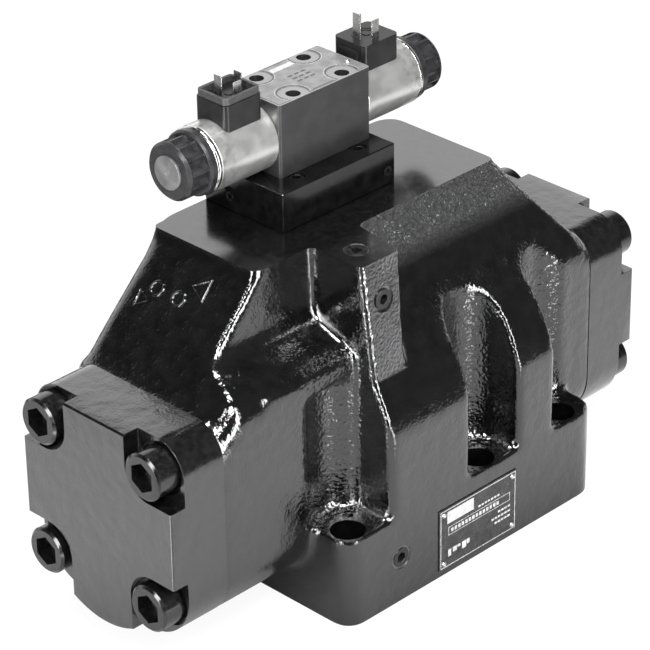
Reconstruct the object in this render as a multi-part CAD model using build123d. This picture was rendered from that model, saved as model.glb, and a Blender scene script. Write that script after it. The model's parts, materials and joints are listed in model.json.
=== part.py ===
"""Pilot-operated proportional directional valve, size 32, with a size 6 pilot valve on top.

Millimetres. +Z up, the mounting face is Z = 0 and the origin is the centre of the four
corner mounting bolts. X runs along the main spool, with cover A at -X, and the nameplate
faces -Y.
"""
import os
from math import cos, pi, sin

from build123d import *

# Mounting pattern and ports of the base, a size 32 sub-plate interface
BOLT_DX = 190.5
BOLT_DY = 158.8
MID_BOLT_X = 19.05
BOLT_HOLE_R = 11.0
SPOTFACE_R = 16.5
SPOTFACE_DEPTH = 0.6
SPOTFACE_RUN = 8.0
PORT_R = 15.0
PORT_SEAL_R = 20.0
PILOT_PORT_R = 5.0
PILOT_PORT_SEAL_R = 8.0
SEAL_RECESS = 3.2
PORTS = {"p": (-19.05, -44.4), "t": (53.95, -44.4), "a": (12.75, 44.4), "b": (-52.35, 44.4)}
PILOT_PORTS = {"x": (53.95, 50.8), "y": (-73.05, -34.9)}
LOCATING_HOLE_R = 3.75
LOCATING_HOLE_DEPTH = 12.0
OVERCUT = 1.0
LOCATING_HOLES = [(-52.35, -79.4), (53.95, 79.4)]

# Casting: base block, neck, barrel, plateau and tower
BASE_LEFT_EDGE = 14.05
BASE_RIGHT_EDGE = 23.45
BASE_SIDE_EDGE = 13.9
BASE_Z = 61.0
BASE_CORNER_R = 12.0
BASE_END_R = 16.0
VALVE_X = -19.05
BORE_Z = 96.0
NECK_HALF = 161.5
FLANGE_Y = 64.0
FLANGE_UP = 64.0
FLANGE_DOWN = 72.4
FLANGE_TOP_R = 21.5
FLANGE_LOW_R = 35.0
FLANGE_LENGTH = 5.0
FLANGE_CHAMFER = 0.8
COLLAR_T = 1.2
CORNER_REACH = 32.0
CORNER_OUT = 2.0
BARREL_R = 95.5
BARREL_X0 = -71.25
BARREL_X1 = 98.0
TOP_Z = 224.0
LEFT_SHOULDER_RUN = 66.55
RIGHT_SHOULDER_RUN = 54.45
TOP_Y0 = -28.0
TOP_Y1 = 62.0
LEDGE_Z = 167.0
LEDGE_RISE = 11.0
SHOULDER_Y0 = -30.0
SHOULDER_FOOT_R = 8.0
LEDGE_INNER_R = 12.0
LEDGE_OUTER_R = 18.0
APRON_X0 = -60.0
APRON_DROP = 52.0
APRON_RUN = 26.5
APRON_FOOT = 18.0
RIGHT_KNEE_RUN = 38.45
RIGHT_KNEE_Z = 202.0
RIGHT_KNEE_R = 30.0
TOWER_X0 = -71.25
TOWER_X1 = -40.0
TOWER_LEAN = 4.2
TOWER_SPLAY = 8.0
TOWER_Y = -69.0
TOWER_FOOT_Y = -79.5
TOWER_FOOT_Z = 148.0
TOWER_ROOT = 20.0
TOWER_BACK_Y = -20.0
TOWER_EDGE_R = 2.5
FRONT_RIDGE_R = 4.0
BACK_RIDGE_R = 12.0
BARREL_EDGE_R = 4.0
CHANNEL_EDGE_R = 3.0

# Vertical recesses that give a key access to the mounting bolts
CHANNEL_R = 24.0
BACK_CHANNEL_R = 17.4
MID_CHANNEL_R = 22.0
CHANNEL_OUT = 10.0
MID_CHANNEL_SHIFT = 1.5
FAR_WALL_X = 75.5

# Main stage
MAIN_BORE_R = 24.0
RUNNING_GAP = 0.04
GALLERY_R = 30.0
TANK_GALLERY_R = 36.0
GALLERY_HALF = 10.0
TANK_GALLERY_X = 73.0
SPOOL_CORE_R = 15.0
LAND_HALF = 12.0
END_LAND_START = 84.0
END_LAND_IN = 25.5
SPOOL_END_IN = 12.0
SPOOL_TAIL_R = 19.0
SPIGOT_R = 6.0
SPIGOT_L = 8.0
SPIGOT_HOLE = 12.0
BRIDGE_R = 9.0
PORT_TOP = 20.0
PORT_RUN = 12.0
PORT_RUN_LOW = 34.0
PORT_RUN_HIGH = 6.0
NOTCH_R = 3.0
NOTCHES = 6
PLATE_T = 6.0
PLATE_R = 27.0
PLATE_BOSS_R = 15.0
PLATE_BOSS_L = 5.0
CHAMBER_R = 28.5
CHAMBER_DEPTH = 34.0
MAIN_WIRE_R = 2.2
MAIN_COIL_R = 20.0
MAIN_COIL_TURNS = 4
WIRE_SIDES = 8
POINTS_PER_TURN = 16
SPRING_SEAT_GAP = 0.1

# End covers
COVER_T = 42.5
COVER_FACE_R = 1.5
COVER_SCREW = 45.0
COVER_NOTCH_Y = 26.0
COVER_NOTCH_R = 19.0
COVER_NOTCH_DEPTH = 11.5
NOTCH_RUN = 20.0
NOTCH_OUT = 5.0
COVER_FOOT_R = 58.0
COVER_FOOT_DOWN = 76.3
COVER_SEAT_DEPTH = 16.0
COVER_HOLE_GAP = 1.0
M20_HEAD_R = 15.0
M20_HEAD_H = 20.0
M20_R = 10.0
M20_KEY = 17.0
M20_GRIP = 22.0
M20_TAP_SPARE = 6.0
SOCKET_SHARE = 0.55
HEAD_CHAMFER_SHARE = 0.1
SCREW_SEAT_GAP = 2.0
COVER_SEAL_R = 34.0
COVER_SEAL_SECTION = 4.0

# Adapter plate and pilot valve
ADAPTER_X0 = -71.5
ADAPTER_X1 = 24.3
ADAPTER_Y0 = -5.0
ADAPTER_Y1 = 62.5
ADAPTER_T = 26.0
ADAPTER_PLUG_R = 3.2
ADAPTER_PLUG_T = 5.0
ADAPTER_PLUG_UP = 9.0
ADAPTER_DRILL_R = 2.5
ADAPTER_CHAMFER = 0.6
ADAPTER_PLUG_Y = 41.0
ADAPTER_PLUG_INSET = 6.0
ADAPTER_PLUG_KEY = 3.0
PILOT_Y = 33.0
PILOT_HALF_X = 38.4
PILOT_HALF_Y = 22.3
PILOT_H = 48.3
PILOT_AXIS_UP = 22.0
PILOT_EDGE_R = 2.0
LABEL_T = 0.5
LABEL_SCALLOP_R = 9.5
LABEL_INSET = 1.0
LABEL_RIVETS = [(33.0, -8.5), (-33.0, 8.5)]
LABEL_RIVET_HEAD = 0.8
M5_HEAD_R = 4.25
M5_HOLE_R = 4.6
M5_R = 2.5
M5_HEAD_H = 5.0
M5_HEAD_TOP = 20.0
M5_GRIP = 10.0
M5_KEY = 4.0
M5_TAP = 12.0
M5_CLEARANCE = 0.3
PILOT_SCREWS = [(-20.25, -15.5), (20.25, -16.25), (20.25, 16.25), (-20.25, 15.5)]
PILOT_PASSAGES = [(1.25, 10.4), (1.25, -10.4), (-7.55, 0.0), (9.95, 0.0)]
PILOT_PASSAGE_R = 3.4
PILOT_SEAL_R = 4.7
PILOT_SEAL_W = 1.1
PILOT_SEAL_T = 1.4
ADAPTER_SCREWS = [(-48.5, 6.8), (4.1, 6.8), (-62.5, 53.5), (15.5, 54.5)]
M6_HEAD_R = 5.0
M6_HEAD_H = 6.0
M6_R = 3.0
M6_KEY = 5.0
M6_GRIP = 11.0
M6_TAP = 16.0
M6_CLEARANCE = 0.4
M6_HEAD_CLEARANCE = 0.3
M6_HEAD_SUNK = 0.5
PILOT_BORE_R = 7.0
PILOT_GAP = 0.03
PILOT_SPOOL_HALF = 22.4
PILOT_SPRING_POCKET = 18.8
PILOT_GALLERY_R = 9.0
PILOT_GALLERY_HALF = 2.0
PILOT_TANK_R = 11.5
PILOT_TANK_HALF = 1.5
PILOT_TANK_SPREAD = 14.8
PILOT_CENTRE = 1.25
PILOT_LAND_HALF = 2.3
PILOT_CORE_R = 4.0
PILOT_CHANNEL = (-8.5, -8.9)
PILOT_CHANNEL_R = 3.0
PILOT_PASSAGE_DROP = 3.0
PILOT_WIRE_R = 0.7
PILOT_COIL_R = 6.5
PILOT_COIL_TURNS = 3
WASHER_T = 2.0
WASHER_R = 9.0

# Solenoids, measured outward from the pilot's end face
TUBE_R = 10.7
TUBE_SEAT = 6.4
TUBE_OUT = 70.9
TUBE_BORE_R = 8.2
TUBE_BORE_START = 18.6
TUBE_BORE_END = 60.6
ARMATURE_R = 8.1
ARMATURE_START = 22.1
ARMATURE_L = 32.0
PUSH_PIN_R = 2.0
OVERRIDE_R = 1.5
OVERRIDE_COLLAR_R = 2.6
OVERRIDE_COLLAR_T = 1.0
OVERRIDE_SUNK = 0.2
CASE_L = 49.0
CASE_R = 21.5
CASE_WALL = 3.0
END_RING_T = 3.0
END_RING_CHAMFER = 1.0
FIT_GAP = 0.05
NUT_L = 20.4
NUT_R = 18.4
NUT_FACE_CHAMFER = 1.7
NUT_FLANGE_R = 20.6
NUT_FLANGE_T = 5.0
NUT_FLANGE_CHAMFER = 1.2
NUT_FLUTES = 12
NUT_FLUTE_R = 5.2
NUT_FLUTE_AT = 21.3
NUT_FLUTE_STOP = 2.6
CONNECTOR_X = 19.75
CONNECTOR_LX = 30.3
CONNECTOR_LY = 26.6
CONNECTOR_TOP = 33.8
CONNECTOR_LOW = 16.0
CONNECTOR_R = 3.5
CONNECTOR_RIB = 1.5
CONNECTOR_RIB_DROP = 4.3
CONNECTOR_RIB_INSET = 2.0
GASKET_H = 4.5
GASKET_WALL = 2.2
GASKET_INSET = 0.6
BLADE_W = 6.3
BLADE_T = 0.8
BLADE_SINK = 4.0
BLADE_SPREAD = 8.0
EARTH_SPREAD = 7.5
BLADES = {
    "a": [(-1, 0, 14.4), (1, 0, 11.7), (0, -1, 10.2)],
    "b": [(-1, 0, 16.0), (0, -1, 11.7), (0, 1, 10.2)]}

# Plugs, plate and rivets
PLUG_R = 6.5
PLUG_T = 9.0
PLUG_KEY = 6.0
PLUG_SUNK = 0.1
PLUG_MOUTH = 8.0
TOWER_DRILL_X = -56.0
TOWER_DRILL_Y = -50.5
TOWER_PLUG_DOWN = 25.0
TOWER_RISER_Y = 11.0
BASE_PLUG_X = -63.3
BASE_PLUG_Z = 31.0
PLUG_IN = 3.5
DRILL_R = 4.0
PILOT_LINE_Z = 150.0
PILOT_LINE_END = 12.0
PILOT_LINE_DROP = (12.0, 15.0)
SMALL_GAP = 0.02
SEAL_SUNK = 0.05
MAIN_SEAL_W = 3.0
SMALL_SEAL_W = 2.2
NAMEPLATE_X = 4.9
NAMEPLATE_Z = 26.3
NAMEPLATE_LX = 70.5
NAMEPLATE_LZ = 43.5
NAMEPLATE_T = 0.8
RIVET_R = 1.8
RIVET_HEAD = 1.0
RIVET_INSET = 4.0

PILOT_BASE_Z = TOP_Z + ADAPTER_T
PILOT_AXIS_Z = PILOT_BASE_Z + PILOT_AXIS_UP
SIDES = {"a": -1, "b": 1}
BOLT_X = BOLT_DX / 2
BOLT_Y = BOLT_DY / 2
BASE_X0 = -BOLT_X - BASE_LEFT_EDGE
BASE_X1 = BOLT_X + BASE_RIGHT_EDGE
BASE_Y = BOLT_Y + BASE_SIDE_EDGE
TOWER_PLUG_Z = TOP_Z - TOWER_PLUG_DOWN
TOP_X0 = VALVE_X - NECK_HALF + LEFT_SHOULDER_RUN
TOP_X1 = VALVE_X + NECK_HALF - RIGHT_SHOULDER_RUN
RIGHT_KNEE_X = VALVE_X + NECK_HALF - RIGHT_KNEE_RUN
END_LAND_END = NECK_HALF - END_LAND_IN
SPOOL_END = NECK_HALF - SPOOL_END_IN
MOUNT_HOLES = [(sx * BOLT_X, sy * BOLT_Y) for sx in (-1, 1) for sy in (-1, 1)]
MOUNT_HOLES += [(MID_BOLT_X, -BOLT_Y), (-MID_BOLT_X, BOLT_Y)]


def block(x0, x1, y0, y1, z0, z1):
    """Box between two corners."""
    centre = Pos((x0 + x1) / 2, (y0 + y1) / 2, (z0 + z1) / 2)
    return centre * Box(abs(x1 - x0), abs(y1 - y0), abs(z1 - z0))


def rod(start, end, radius):
    """Cylinder from one point to another."""
    a, b = Vector(*start), Vector(*end)
    plane = Plane(origin=a, z_dir=(b - a).normalized())
    return extrude(plane * Circle(radius), (b - a).length)


def ring(start, end, outer, inner):
    """Hollow cylinder from one point to another."""
    return rod(start, end, outer) - rod(start, end, inner)


def vertex_near(sketch, x, y):
    """The corner of a flat outline that lies nearest to a point."""
    return min(sketch.vertices(), key=lambda v: (v.X - x) ** 2 + (v.Y - y) ** 2)


def rounded(sketch, corners):
    """Outline with the corner nearest to each (x, y, radius) rounded."""
    for x, y, radius in corners:
        sketch = fillet(vertex_near(sketch, x, y), radius)
    return sketch


def along_x(sketch, x0, x1):
    """Solid of an outline in (Y, Z), drawn from one X to another."""
    return extrude(Plane.YZ.offset(x0) * sketch, x1 - x0)


def along_y(sketch, y0, y1):
    """Solid of an outline in (X, Z), drawn from one Y to another."""
    return extrude(Plane.XZ.offset(-y1) * sketch, y1 - y0)


def outline(*points):
    """Closed flat outline through points."""
    return make_face(Polyline(*points, close=True))


def neck_x(side):
    """X of the joint face of one side."""
    return VALVE_X + side * NECK_HALF


def flange_outline():
    """The rounded outline that the casting's ends and the covers share."""
    low, high = BORE_Z - FLANGE_DOWN, BORE_Z + FLANGE_UP
    face = outline((-FLANGE_Y, low), (FLANGE_Y, low), (FLANGE_Y, high), (-FLANGE_Y, high))
    top = [(s * FLANGE_Y, high, FLANGE_TOP_R) for s in (-1, 1)]
    bottom = [(s * FLANGE_Y, low, FLANGE_LOW_R) for s in (-1, 1)]
    return rounded(face, top + bottom)


def wing_outline():
    """Section of the casting at its left: neck, ledge and plateau."""
    low = BORE_Z - FLANGE_DOWN
    ledge_in = LEDGE_Z + LEDGE_RISE
    face = outline(
        (-FLANGE_Y, low), (FLANGE_Y, low), (FLANGE_Y, LEDGE_Z), (TOP_Y1, TOP_Z),
        (TOP_Y0, TOP_Z), (SHOULDER_Y0, ledge_in), (-FLANGE_Y, LEDGE_Z))
    return rounded(face, [
        (-FLANGE_Y, low, FLANGE_LOW_R), (FLANGE_Y, low, FLANGE_LOW_R),
        (-FLANGE_Y, LEDGE_Z, LEDGE_OUTER_R), (SHOULDER_Y0, ledge_in, LEDGE_INNER_R)])


def apron_outline():
    """Section of the casting at its middle and right, with the sloped front."""
    low = BORE_Z - FLANGE_DOWN
    foot = (TOP_Y0 - APRON_RUN, TOP_Z - APRON_DROP)
    face = outline(
        (-FLANGE_Y, low), (FLANGE_Y, low), (FLANGE_Y, LEDGE_Z), (TOP_Y1, TOP_Z),
        (TOP_Y0, TOP_Z), foot, (-FLANGE_Y, foot[1] - APRON_FOOT))
    return rounded(face, [
        (-FLANGE_Y, low, FLANGE_LOW_R), (FLANGE_Y, low, FLANGE_LOW_R),
        (-FLANGE_Y, foot[1] - APRON_FOOT, LEDGE_OUTER_R)])


def neck_side_outline():
    """The casting's neck and plateau seen along Y, with both sloped shoulders."""
    left, right = neck_x(-1), neck_x(1)
    low, high = BORE_Z - FLANGE_DOWN, BORE_Z + FLANGE_UP
    face = outline(
        (left, low), (right, low), (right, high), (right - FLANGE_LENGTH, high),
        (RIGHT_KNEE_X, RIGHT_KNEE_Z), (TOP_X1, TOP_Z), (TOP_X0, TOP_Z),
        (left + FLANGE_LENGTH, high), (left, high))
    return rounded(face, [
        (RIGHT_KNEE_X, RIGHT_KNEE_Z, RIGHT_KNEE_R),
        (left + FLANGE_LENGTH, high, SHOULDER_FOOT_R)])


def barrel():
    """Barrel round the middle of the bore, with upright flanks down to the base."""
    low, high = BORE_Z - FLANGE_DOWN, BORE_Z + 2 * BARREL_R
    circle = Pos(0, BORE_Z) * Circle(BARREL_R)
    trim = outline((-BASE_Y, low), (BASE_Y, low), (BASE_Y, high), (-BASE_Y, high))
    foot = outline((-BASE_Y, low), (BASE_Y, low), (BASE_Y, BORE_Z), (-BASE_Y, BORE_Z))
    solid = along_x((circle & trim) + foot, BARREL_X0, BARREL_X1)
    left = [e for e in solid.edges() if abs(e.center().X - BARREL_X0) < 0.1]
    return fillet([e for e in left if e.center().Y < 0 and e.center().Z > BASE_Z], BARREL_EDGE_R)


def tower():
    """Boss on the front that carries the pilot drillings and their plugs."""
    low = TOWER_FOOT_Z - TOWER_ROOT
    height = TOP_Z - low
    lean = TOWER_LEAN * height / (TOP_Z - TOWER_FOOT_Z)
    slope = outline(
        (TOWER_BACK_Y, TOP_Z), (TOWER_Y, TOP_Z), (TOWER_FOOT_Y, TOWER_FOOT_Z), (TOWER_BACK_Y, low))
    right, front = TOWER_X1 - lean, TOWER_FOOT_Y - OVERCUT
    plan = outline(
        (TOWER_X0 - TOWER_ROOT, TOWER_BACK_Y), (TOWER_X0 - TOWER_ROOT, front), (right, front),
        (right + TOWER_SPLAY, TOWER_BACK_Y))
    reach = Vector(lean, 0, height)
    prism = extrude(Plane.XY.offset(low) * plan, amount=reach.length, dir=reach)
    solid = along_x(slope, TOWER_X0, TOWER_X1 + 2 * TOWER_SPLAY) & prism
    upright = [e for e in solid.edges() if e.center().Y < TOWER_Y and e.bounding_box().size.Z > height / 2]
    return fillet(upright, TOWER_EDGE_R)


def base_block():
    """Machined base with rounded upright corners."""
    solid = block(BASE_X0, BASE_X1, -BASE_Y, BASE_Y, 0, BASE_Z)
    corners = solid.edges().filter_by(Axis.Z).sort_by(Axis.X)
    solid = fillet(corners[:2], BASE_CORNER_R)
    return fillet(solid.edges().filter_by(Axis.Z).sort_by(Axis.X)[-2:], BASE_END_R)


def channel(x, side, radius, wall=None):
    """Upright recess over a mounting hole, open to one long side."""
    y = side * BOLT_Y
    out = BASE_Y + CHANNEL_OUT
    low, high = sorted((y, side * out))
    cut = rod((x, y, BASE_Z), (x, y, TOP_Z + 1), radius)
    cut += block(x - radius, x + radius, low, high, BASE_Z, TOP_Z + 1)
    return cut if wall is None else cut - block(x - 2 * radius, wall, -out, out, 0, TOP_Z + 2)


def bolt_channels():
    """All recesses above the base, one over each mounting hole."""
    return [
        channel(-BOLT_X, -1, CHANNEL_R),
        channel(MID_BOLT_X + MID_CHANNEL_SHIFT, -1, MID_CHANNEL_R),
        channel(BOLT_X, -1, CHANNEL_R, FAR_WALL_X),
        channel(-BOLT_X, 1, BACK_CHANNEL_R),
        channel(-MID_BOLT_X, 1, BACK_CHANNEL_R),
        channel(BOLT_X, 1, BACK_CHANNEL_R)]


def mounting_holes():
    """Through holes and spotfaces for the mounting bolts."""
    cuts = []
    for x, y in MOUNT_HOLES:
        cuts.append(rod((x, y, -1), (x, y, BASE_Z + 1), BOLT_HOLE_R))
        cuts.append(rod((x, y, BASE_Z - SPOTFACE_DEPTH), (x, y, BASE_Z + SPOTFACE_RUN), SPOTFACE_R))
    for x, y in LOCATING_HOLES:
        cuts.append(rod((x, y, -1), (x, y, LOCATING_HOLE_DEPTH), LOCATING_HOLE_R))
    return cuts


def gallery(x, radius):
    """Ring-shaped oil chamber round the main bore."""
    return rod((x - GALLERY_HALF, 0, BORE_Z), (x + GALLERY_HALF, 0, BORE_Z), radius)


def main_passages():
    """Main bore, its galleries and the passages down to the mounting face."""
    cuts = [rod((neck_x(-1) - 1, 0, BORE_Z), (neck_x(1) + 1, 0, BORE_Z), MAIN_BORE_R)]
    for side in (-1, 1):
        inner = VALVE_X + side * END_LAND_END
        cuts.append(rod((inner, 0, BORE_Z), (neck_x(side) + side, 0, BORE_Z), CHAMBER_R))
        cuts.append(gallery(VALVE_X + side * TANK_GALLERY_X, TANK_GALLERY_R))
    for name in ("p", "a", "b"):
        cuts.append(gallery(PORTS[name][0], GALLERY_R))
    for x, y in PORTS.values():
        cuts.append(rod((x, y, -1), (x, y, BORE_Z - PORT_TOP), PORT_R))
        cuts.append(rod((x, y, -1), (x, y, SEAL_RECESS), PORT_SEAL_R))
        low, high = sorted((0, y + (PORT_RUN if y > 0 else -PORT_RUN)))
        cuts.append(block(x - GALLERY_HALF, x + GALLERY_HALF, low, high,
                          BORE_Z - PORT_RUN_LOW, BORE_Z + PORT_RUN_HIGH))
    bridge_z = BORE_Z + TANK_GALLERY_R + BRIDGE_R / 2
    reach = TANK_GALLERY_X + GALLERY_HALF
    cuts.append(rod((VALVE_X - reach, 0, bridge_z), (VALVE_X + reach, 0, bridge_z), BRIDGE_R))
    return cuts


def pilot_drillings():
    """Drillings for the pilot oil, with their plug seats."""
    tx, ty, fy = TOWER_DRILL_X, TOWER_DRILL_Y, TOWER_Y - PLUG_IN
    yx, yy = PILOT_PORTS["y"]
    cuts = [
        rod((tx, ty, BASE_PLUG_Z), (tx, ty, TOP_Z + 1), DRILL_R),
        rod((tx, ty, TOP_Z - PLUG_T), (tx, ty, TOP_Z + 1), PLUG_R),
        rod((tx, fy - PLUG_MOUTH, TOWER_PLUG_Z), (tx, TOWER_RISER_Y, TOWER_PLUG_Z), DRILL_R),
        rod((tx, fy - PLUG_MOUTH, TOWER_PLUG_Z), (tx, fy + PLUG_T, TOWER_PLUG_Z), PLUG_R),
        rod((tx, TOWER_RISER_Y, TOWER_PLUG_Z - DRILL_R), (tx, TOWER_RISER_Y, TOP_Z + 1), DRILL_R),
        rod((BASE_PLUG_X, -BASE_Y - 1, BASE_PLUG_Z), (tx, ty, BASE_PLUG_Z), DRILL_R),
        rod((BASE_PLUG_X, -BASE_Y - 1, BASE_PLUG_Z), (BASE_PLUG_X, -BASE_Y + PLUG_T, BASE_PLUG_Z),
            PLUG_R),
        rod((yx, yy, BASE_PLUG_Z), (tx, ty, BASE_PLUG_Z), DRILL_R),
    ]
    for x, y in PILOT_PORTS.values():
        cuts.append(rod((x, y, -1), (x, y, BASE_PLUG_Z + DRILL_R), PILOT_PORT_R))
        cuts.append(rod((x, y, -1), (x, y, SEAL_RECESS), PILOT_PORT_SEAL_R))
    return cuts


def screw_holes_in_body():
    """Tapped holes for the cover screws and for the adapter's screws."""
    cuts = []
    for side in (-1, 1):
        for sy in (-1, 1):
            for sz in (-1, 1):
                y, z = sy * COVER_SCREW, BORE_Z + sz * COVER_SCREW
                x = neck_x(side)
                cuts.append(rod((x - side * (M20_GRIP + M20_TAP_SPARE), y, z), (x + side, y, z), M20_R))
    for x, y in ADAPTER_SCREWS:
        cuts.append(rod((x, y, TOP_Z - M6_TAP), (x, y, TOP_Z + 1), M6_R))
    return cuts


def pilot_lines():
    """Lines in the casting from the pilot valve to both spring chambers and to port X."""
    cuts = []
    for (dx, dy), side in zip(PILOT_PASSAGES[2:], (-1, 1)):
        x, y = VALVE_X + dx, PILOT_Y + dy
        end = neck_x(side) - side * PILOT_LINE_END
        drop_y, drop_up = PILOT_LINE_DROP
        cuts.append(rod((x, y, PILOT_LINE_Z - DRILL_R), (x, y, TOP_Z + 1), PILOT_PASSAGE_R))
        cuts.append(rod((x, y, PILOT_LINE_Z), (end, y, PILOT_LINE_Z), DRILL_R))
        cuts.append(rod((end, y, PILOT_LINE_Z), (end, drop_y, BORE_Z + drop_up), DRILL_R))
    port_x, port_y = PILOT_PORTS["x"]
    x, y = VALVE_X + PILOT_PASSAGES[0][0], PILOT_Y + PILOT_PASSAGES[0][1]
    cuts.append(rod((port_x, port_y, 0), (port_x, port_y, TOWER_PLUG_Z), PILOT_PORT_R))
    cuts.append(rod((port_x, port_y, TOWER_PLUG_Z), (x, y, TOWER_PLUG_Z), DRILL_R))
    cuts.append(rod((x, y, TOWER_PLUG_Z - DRILL_R), (x, y, TOP_Z + 1), PILOT_PASSAGE_R))
    return cuts


def ridges(solid, x0, x1, back):
    """Sloping edges of a shoulder between two X, on its back or its front."""
    found = []
    for edge in solid.edges():
        box, middle = edge.bounding_box(), edge.center()
        sloping = min(box.size.X, box.size.Z) > 1
        inside = x0 <= box.min.X and box.max.X <= x1 and middle.Z > BORE_Z + FLANGE_UP + 1
        if sloping and inside and (middle.Y > 0) == back:
            found.append(edge)
    return found


def shoulders():
    """Neck, ledge, apron and plateau, with the cast ridges rounded."""
    left, right = neck_x(-1), neck_x(1)
    wing = along_x(wing_outline(), left, BARREL_X1)
    apron = along_x(apron_outline(), APRON_X0, right)
    solid = (wing + apron) & along_y(neck_side_outline(), -BASE_Y, BASE_Y)
    solid = fillet(ridges(solid, left - 1, TOP_X0 + 1, False), FRONT_RIDGE_R)
    solid = fillet(ridges(solid, left - 1, TOP_X0 + 1, True), BACK_RIDGE_R)
    return fillet(ridges(solid, TOP_X1 - 1, right + 1, True), BACK_RIDGE_R)


def corner_cut(side, back):
    """What one rounded upper corner of a joint face takes off the shoulder behind it."""
    high = BORE_Z + FLANGE_UP
    y, z = FLANGE_Y - FLANGE_TOP_R, high - FLANGE_TOP_R
    wide, tall = FLANGE_Y + CORNER_OUT, high + CORNER_OUT
    if not back:
        y, wide = -y, -wide
    face = outline((y, z), (wide, z), (wide, tall), (y, tall)) - Pos(y, z) * Circle(FLANGE_TOP_R)
    start = neck_x(side) - side * COLLAR_T
    if side < 0:
        rise = 1.0
    else:
        rise = (RIGHT_KNEE_Z - high) / (neck_x(side) - FLANGE_LENGTH - RIGHT_KNEE_X)
    along = Vector(-side, 0, rise) * CORNER_REACH
    plane = Plane(origin=(start + side, 0, -rise), x_dir=(0, 1, 0), z_dir=(1, 0, 0))
    return extrude(plane * face, amount=along.length, dir=along)


def joint_collar(side):
    """Thin end of the casting at one joint face, with its chamfered rim."""
    end = neck_x(side)
    plate = along_x(flange_outline(), *sorted((end - side * COLLAR_T, end)))
    rim = plate.faces().sort_by(Axis.X)[-1 if side > 0 else 0]
    return chamfer(rim.edges(), FLANGE_CHAMFER)


def casting():
    """The raw casting above its base, with its recesses but before any drilling."""
    solid = shoulders()
    for side in (-1, 1):
        for back in (False, True):
            solid -= corner_cut(side, back)
    half = NECK_HALF - COLLAR_T
    solid &= block(VALVE_X - half, VALVE_X + half, -BASE_Y, BASE_Y, 0, TOP_Z + OVERCUT)
    solid += joint_collar(-1)
    solid += joint_collar(1)
    solid += barrel() + tower()
    for cut in bolt_channels():
        solid -= cut
    return fillet(recess_edges(solid), CHANNEL_EDGE_R)


def recess_edges(solid):
    """Upright edges of the middle front recess where it breaks the barrel."""
    centre = MID_BOLT_X + MID_CHANNEL_SHIFT
    found = []
    for edge in solid.edges():
        middle, size = edge.center(), edge.bounding_box().size
        on_wall = abs(abs(middle.X - centre) - MID_CHANNEL_R) < 0.1
        if on_wall and middle.Y < -BOLT_Y and size.Z > MID_CHANNEL_R / 2 and size.Y < 1:
            found.append(edge)
    return found


def main_body():
    """The one-piece cast housing of the main stage."""
    solid = casting() + base_block()
    inside = main_passages() + pilot_drillings() + pilot_lines() + screw_holes_in_body()
    for cut in mounting_holes() + inside:
        solid -= cut
    return solid


def cover_notch(side, sy, sz):
    """Corner step under one cover screw, rounded about the screw, and its seat."""
    face = neck_x(side) + side * COVER_T
    floor = face - side * COVER_NOTCH_DEPTH
    y, z = sy * COVER_SCREW, BORE_Z + sz * COVER_SCREW
    x0, x1 = sorted((floor, face + side * NOTCH_OUT))
    cut = rod((x0, y, z), (x1, y, z), COVER_NOTCH_R)
    y0, y1 = sorted((y, sy * (FLANGE_Y + NOTCH_RUN)))
    z0, z1 = sorted((z - sz * COVER_NOTCH_R, BORE_Z + sz * (FLANGE_DOWN + NOTCH_RUN)))
    cut += block(x0, x1, y0, y1, z0, z1)
    y0, y1 = sorted((sy * COVER_NOTCH_Y, sy * (FLANGE_Y + NOTCH_RUN)))
    z0, z1 = sorted((z, BORE_Z + sz * (FLANGE_DOWN + NOTCH_RUN)))
    cut += block(x0, x1, y0, y1, z0, z1)
    seat = face - side * COVER_SEAT_DEPTH
    cut += rod((seat, y, z), (face + side * NOTCH_OUT, y, z), M20_HEAD_R + SCREW_SEAT_GAP)
    return cut + rod((neck_x(side) - side, y, z), (face, y, z), M20_R + COVER_HOLE_GAP)


def foot_circle():
    """Circle in (Y, Z) whose lowest stretch is the shallow arc under the middle of a cover."""
    return Pos(0, BORE_Z - COVER_FOOT_DOWN + COVER_FOOT_R) * Circle(COVER_FOOT_R)


def band(half, low, high):
    """Upright rectangle in (Y, Z), centred on the bore."""
    return outline((-half, low), (half, low), (half, high), (-half, high))


def cover_plate(side):
    """Cover before its corner steps: its raised middle ends below in an arc, its back is squarer."""
    low, bottom = BORE_Z - FLANGE_DOWN, BORE_Z - COVER_FOOT_DOWN - OVERCUT
    lip = band(FLANGE_Y, bottom, low + OVERCUT) & foot_circle()
    back = flange_outline() + lip
    trim = band(COVER_NOTCH_Y + OVERCUT, bottom, BORE_Z - FLANGE_Y / 2) - foot_circle()
    start = neck_x(side)
    step = start + side * (COVER_T - COVER_NOTCH_DEPTH)
    rear = along_x(back, *sorted((start, step)))
    return rear + along_x(back - trim, *sorted((step, start + side * COVER_T)))


def end_cover(side):
    """Cover of one spring chamber with four stepped corners."""
    solid = cover_plate(side)
    outer = solid.faces().sort_by(Axis.X)[-1 if side > 0 else 0]
    solid = chamfer(outer.edges(), COVER_FACE_R / 2)
    for sy in (-1, 1):
        for sz in (-1, 1):
            solid -= cover_notch(side, sy, sz)
    start = neck_x(side)
    solid -= rod((start - side, 0, BORE_Z), (start + side * CHAMBER_DEPTH, 0, BORE_Z), CHAMBER_R)
    solid -= cover_seal(side, 0)
    return solid


def cover_seal(side, gap=FIT_GAP):
    """Face seal between a cover and the casting, in a groove of the cover."""
    half = COVER_SEAL_SECTION / 2 - gap
    start = neck_x(side)
    end = start + side * (COVER_SEAL_SECTION - 1)
    return ring((start, 0, BORE_Z), (end, 0, BORE_Z), COVER_SEAL_R + half, COVER_SEAL_R - half)


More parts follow.
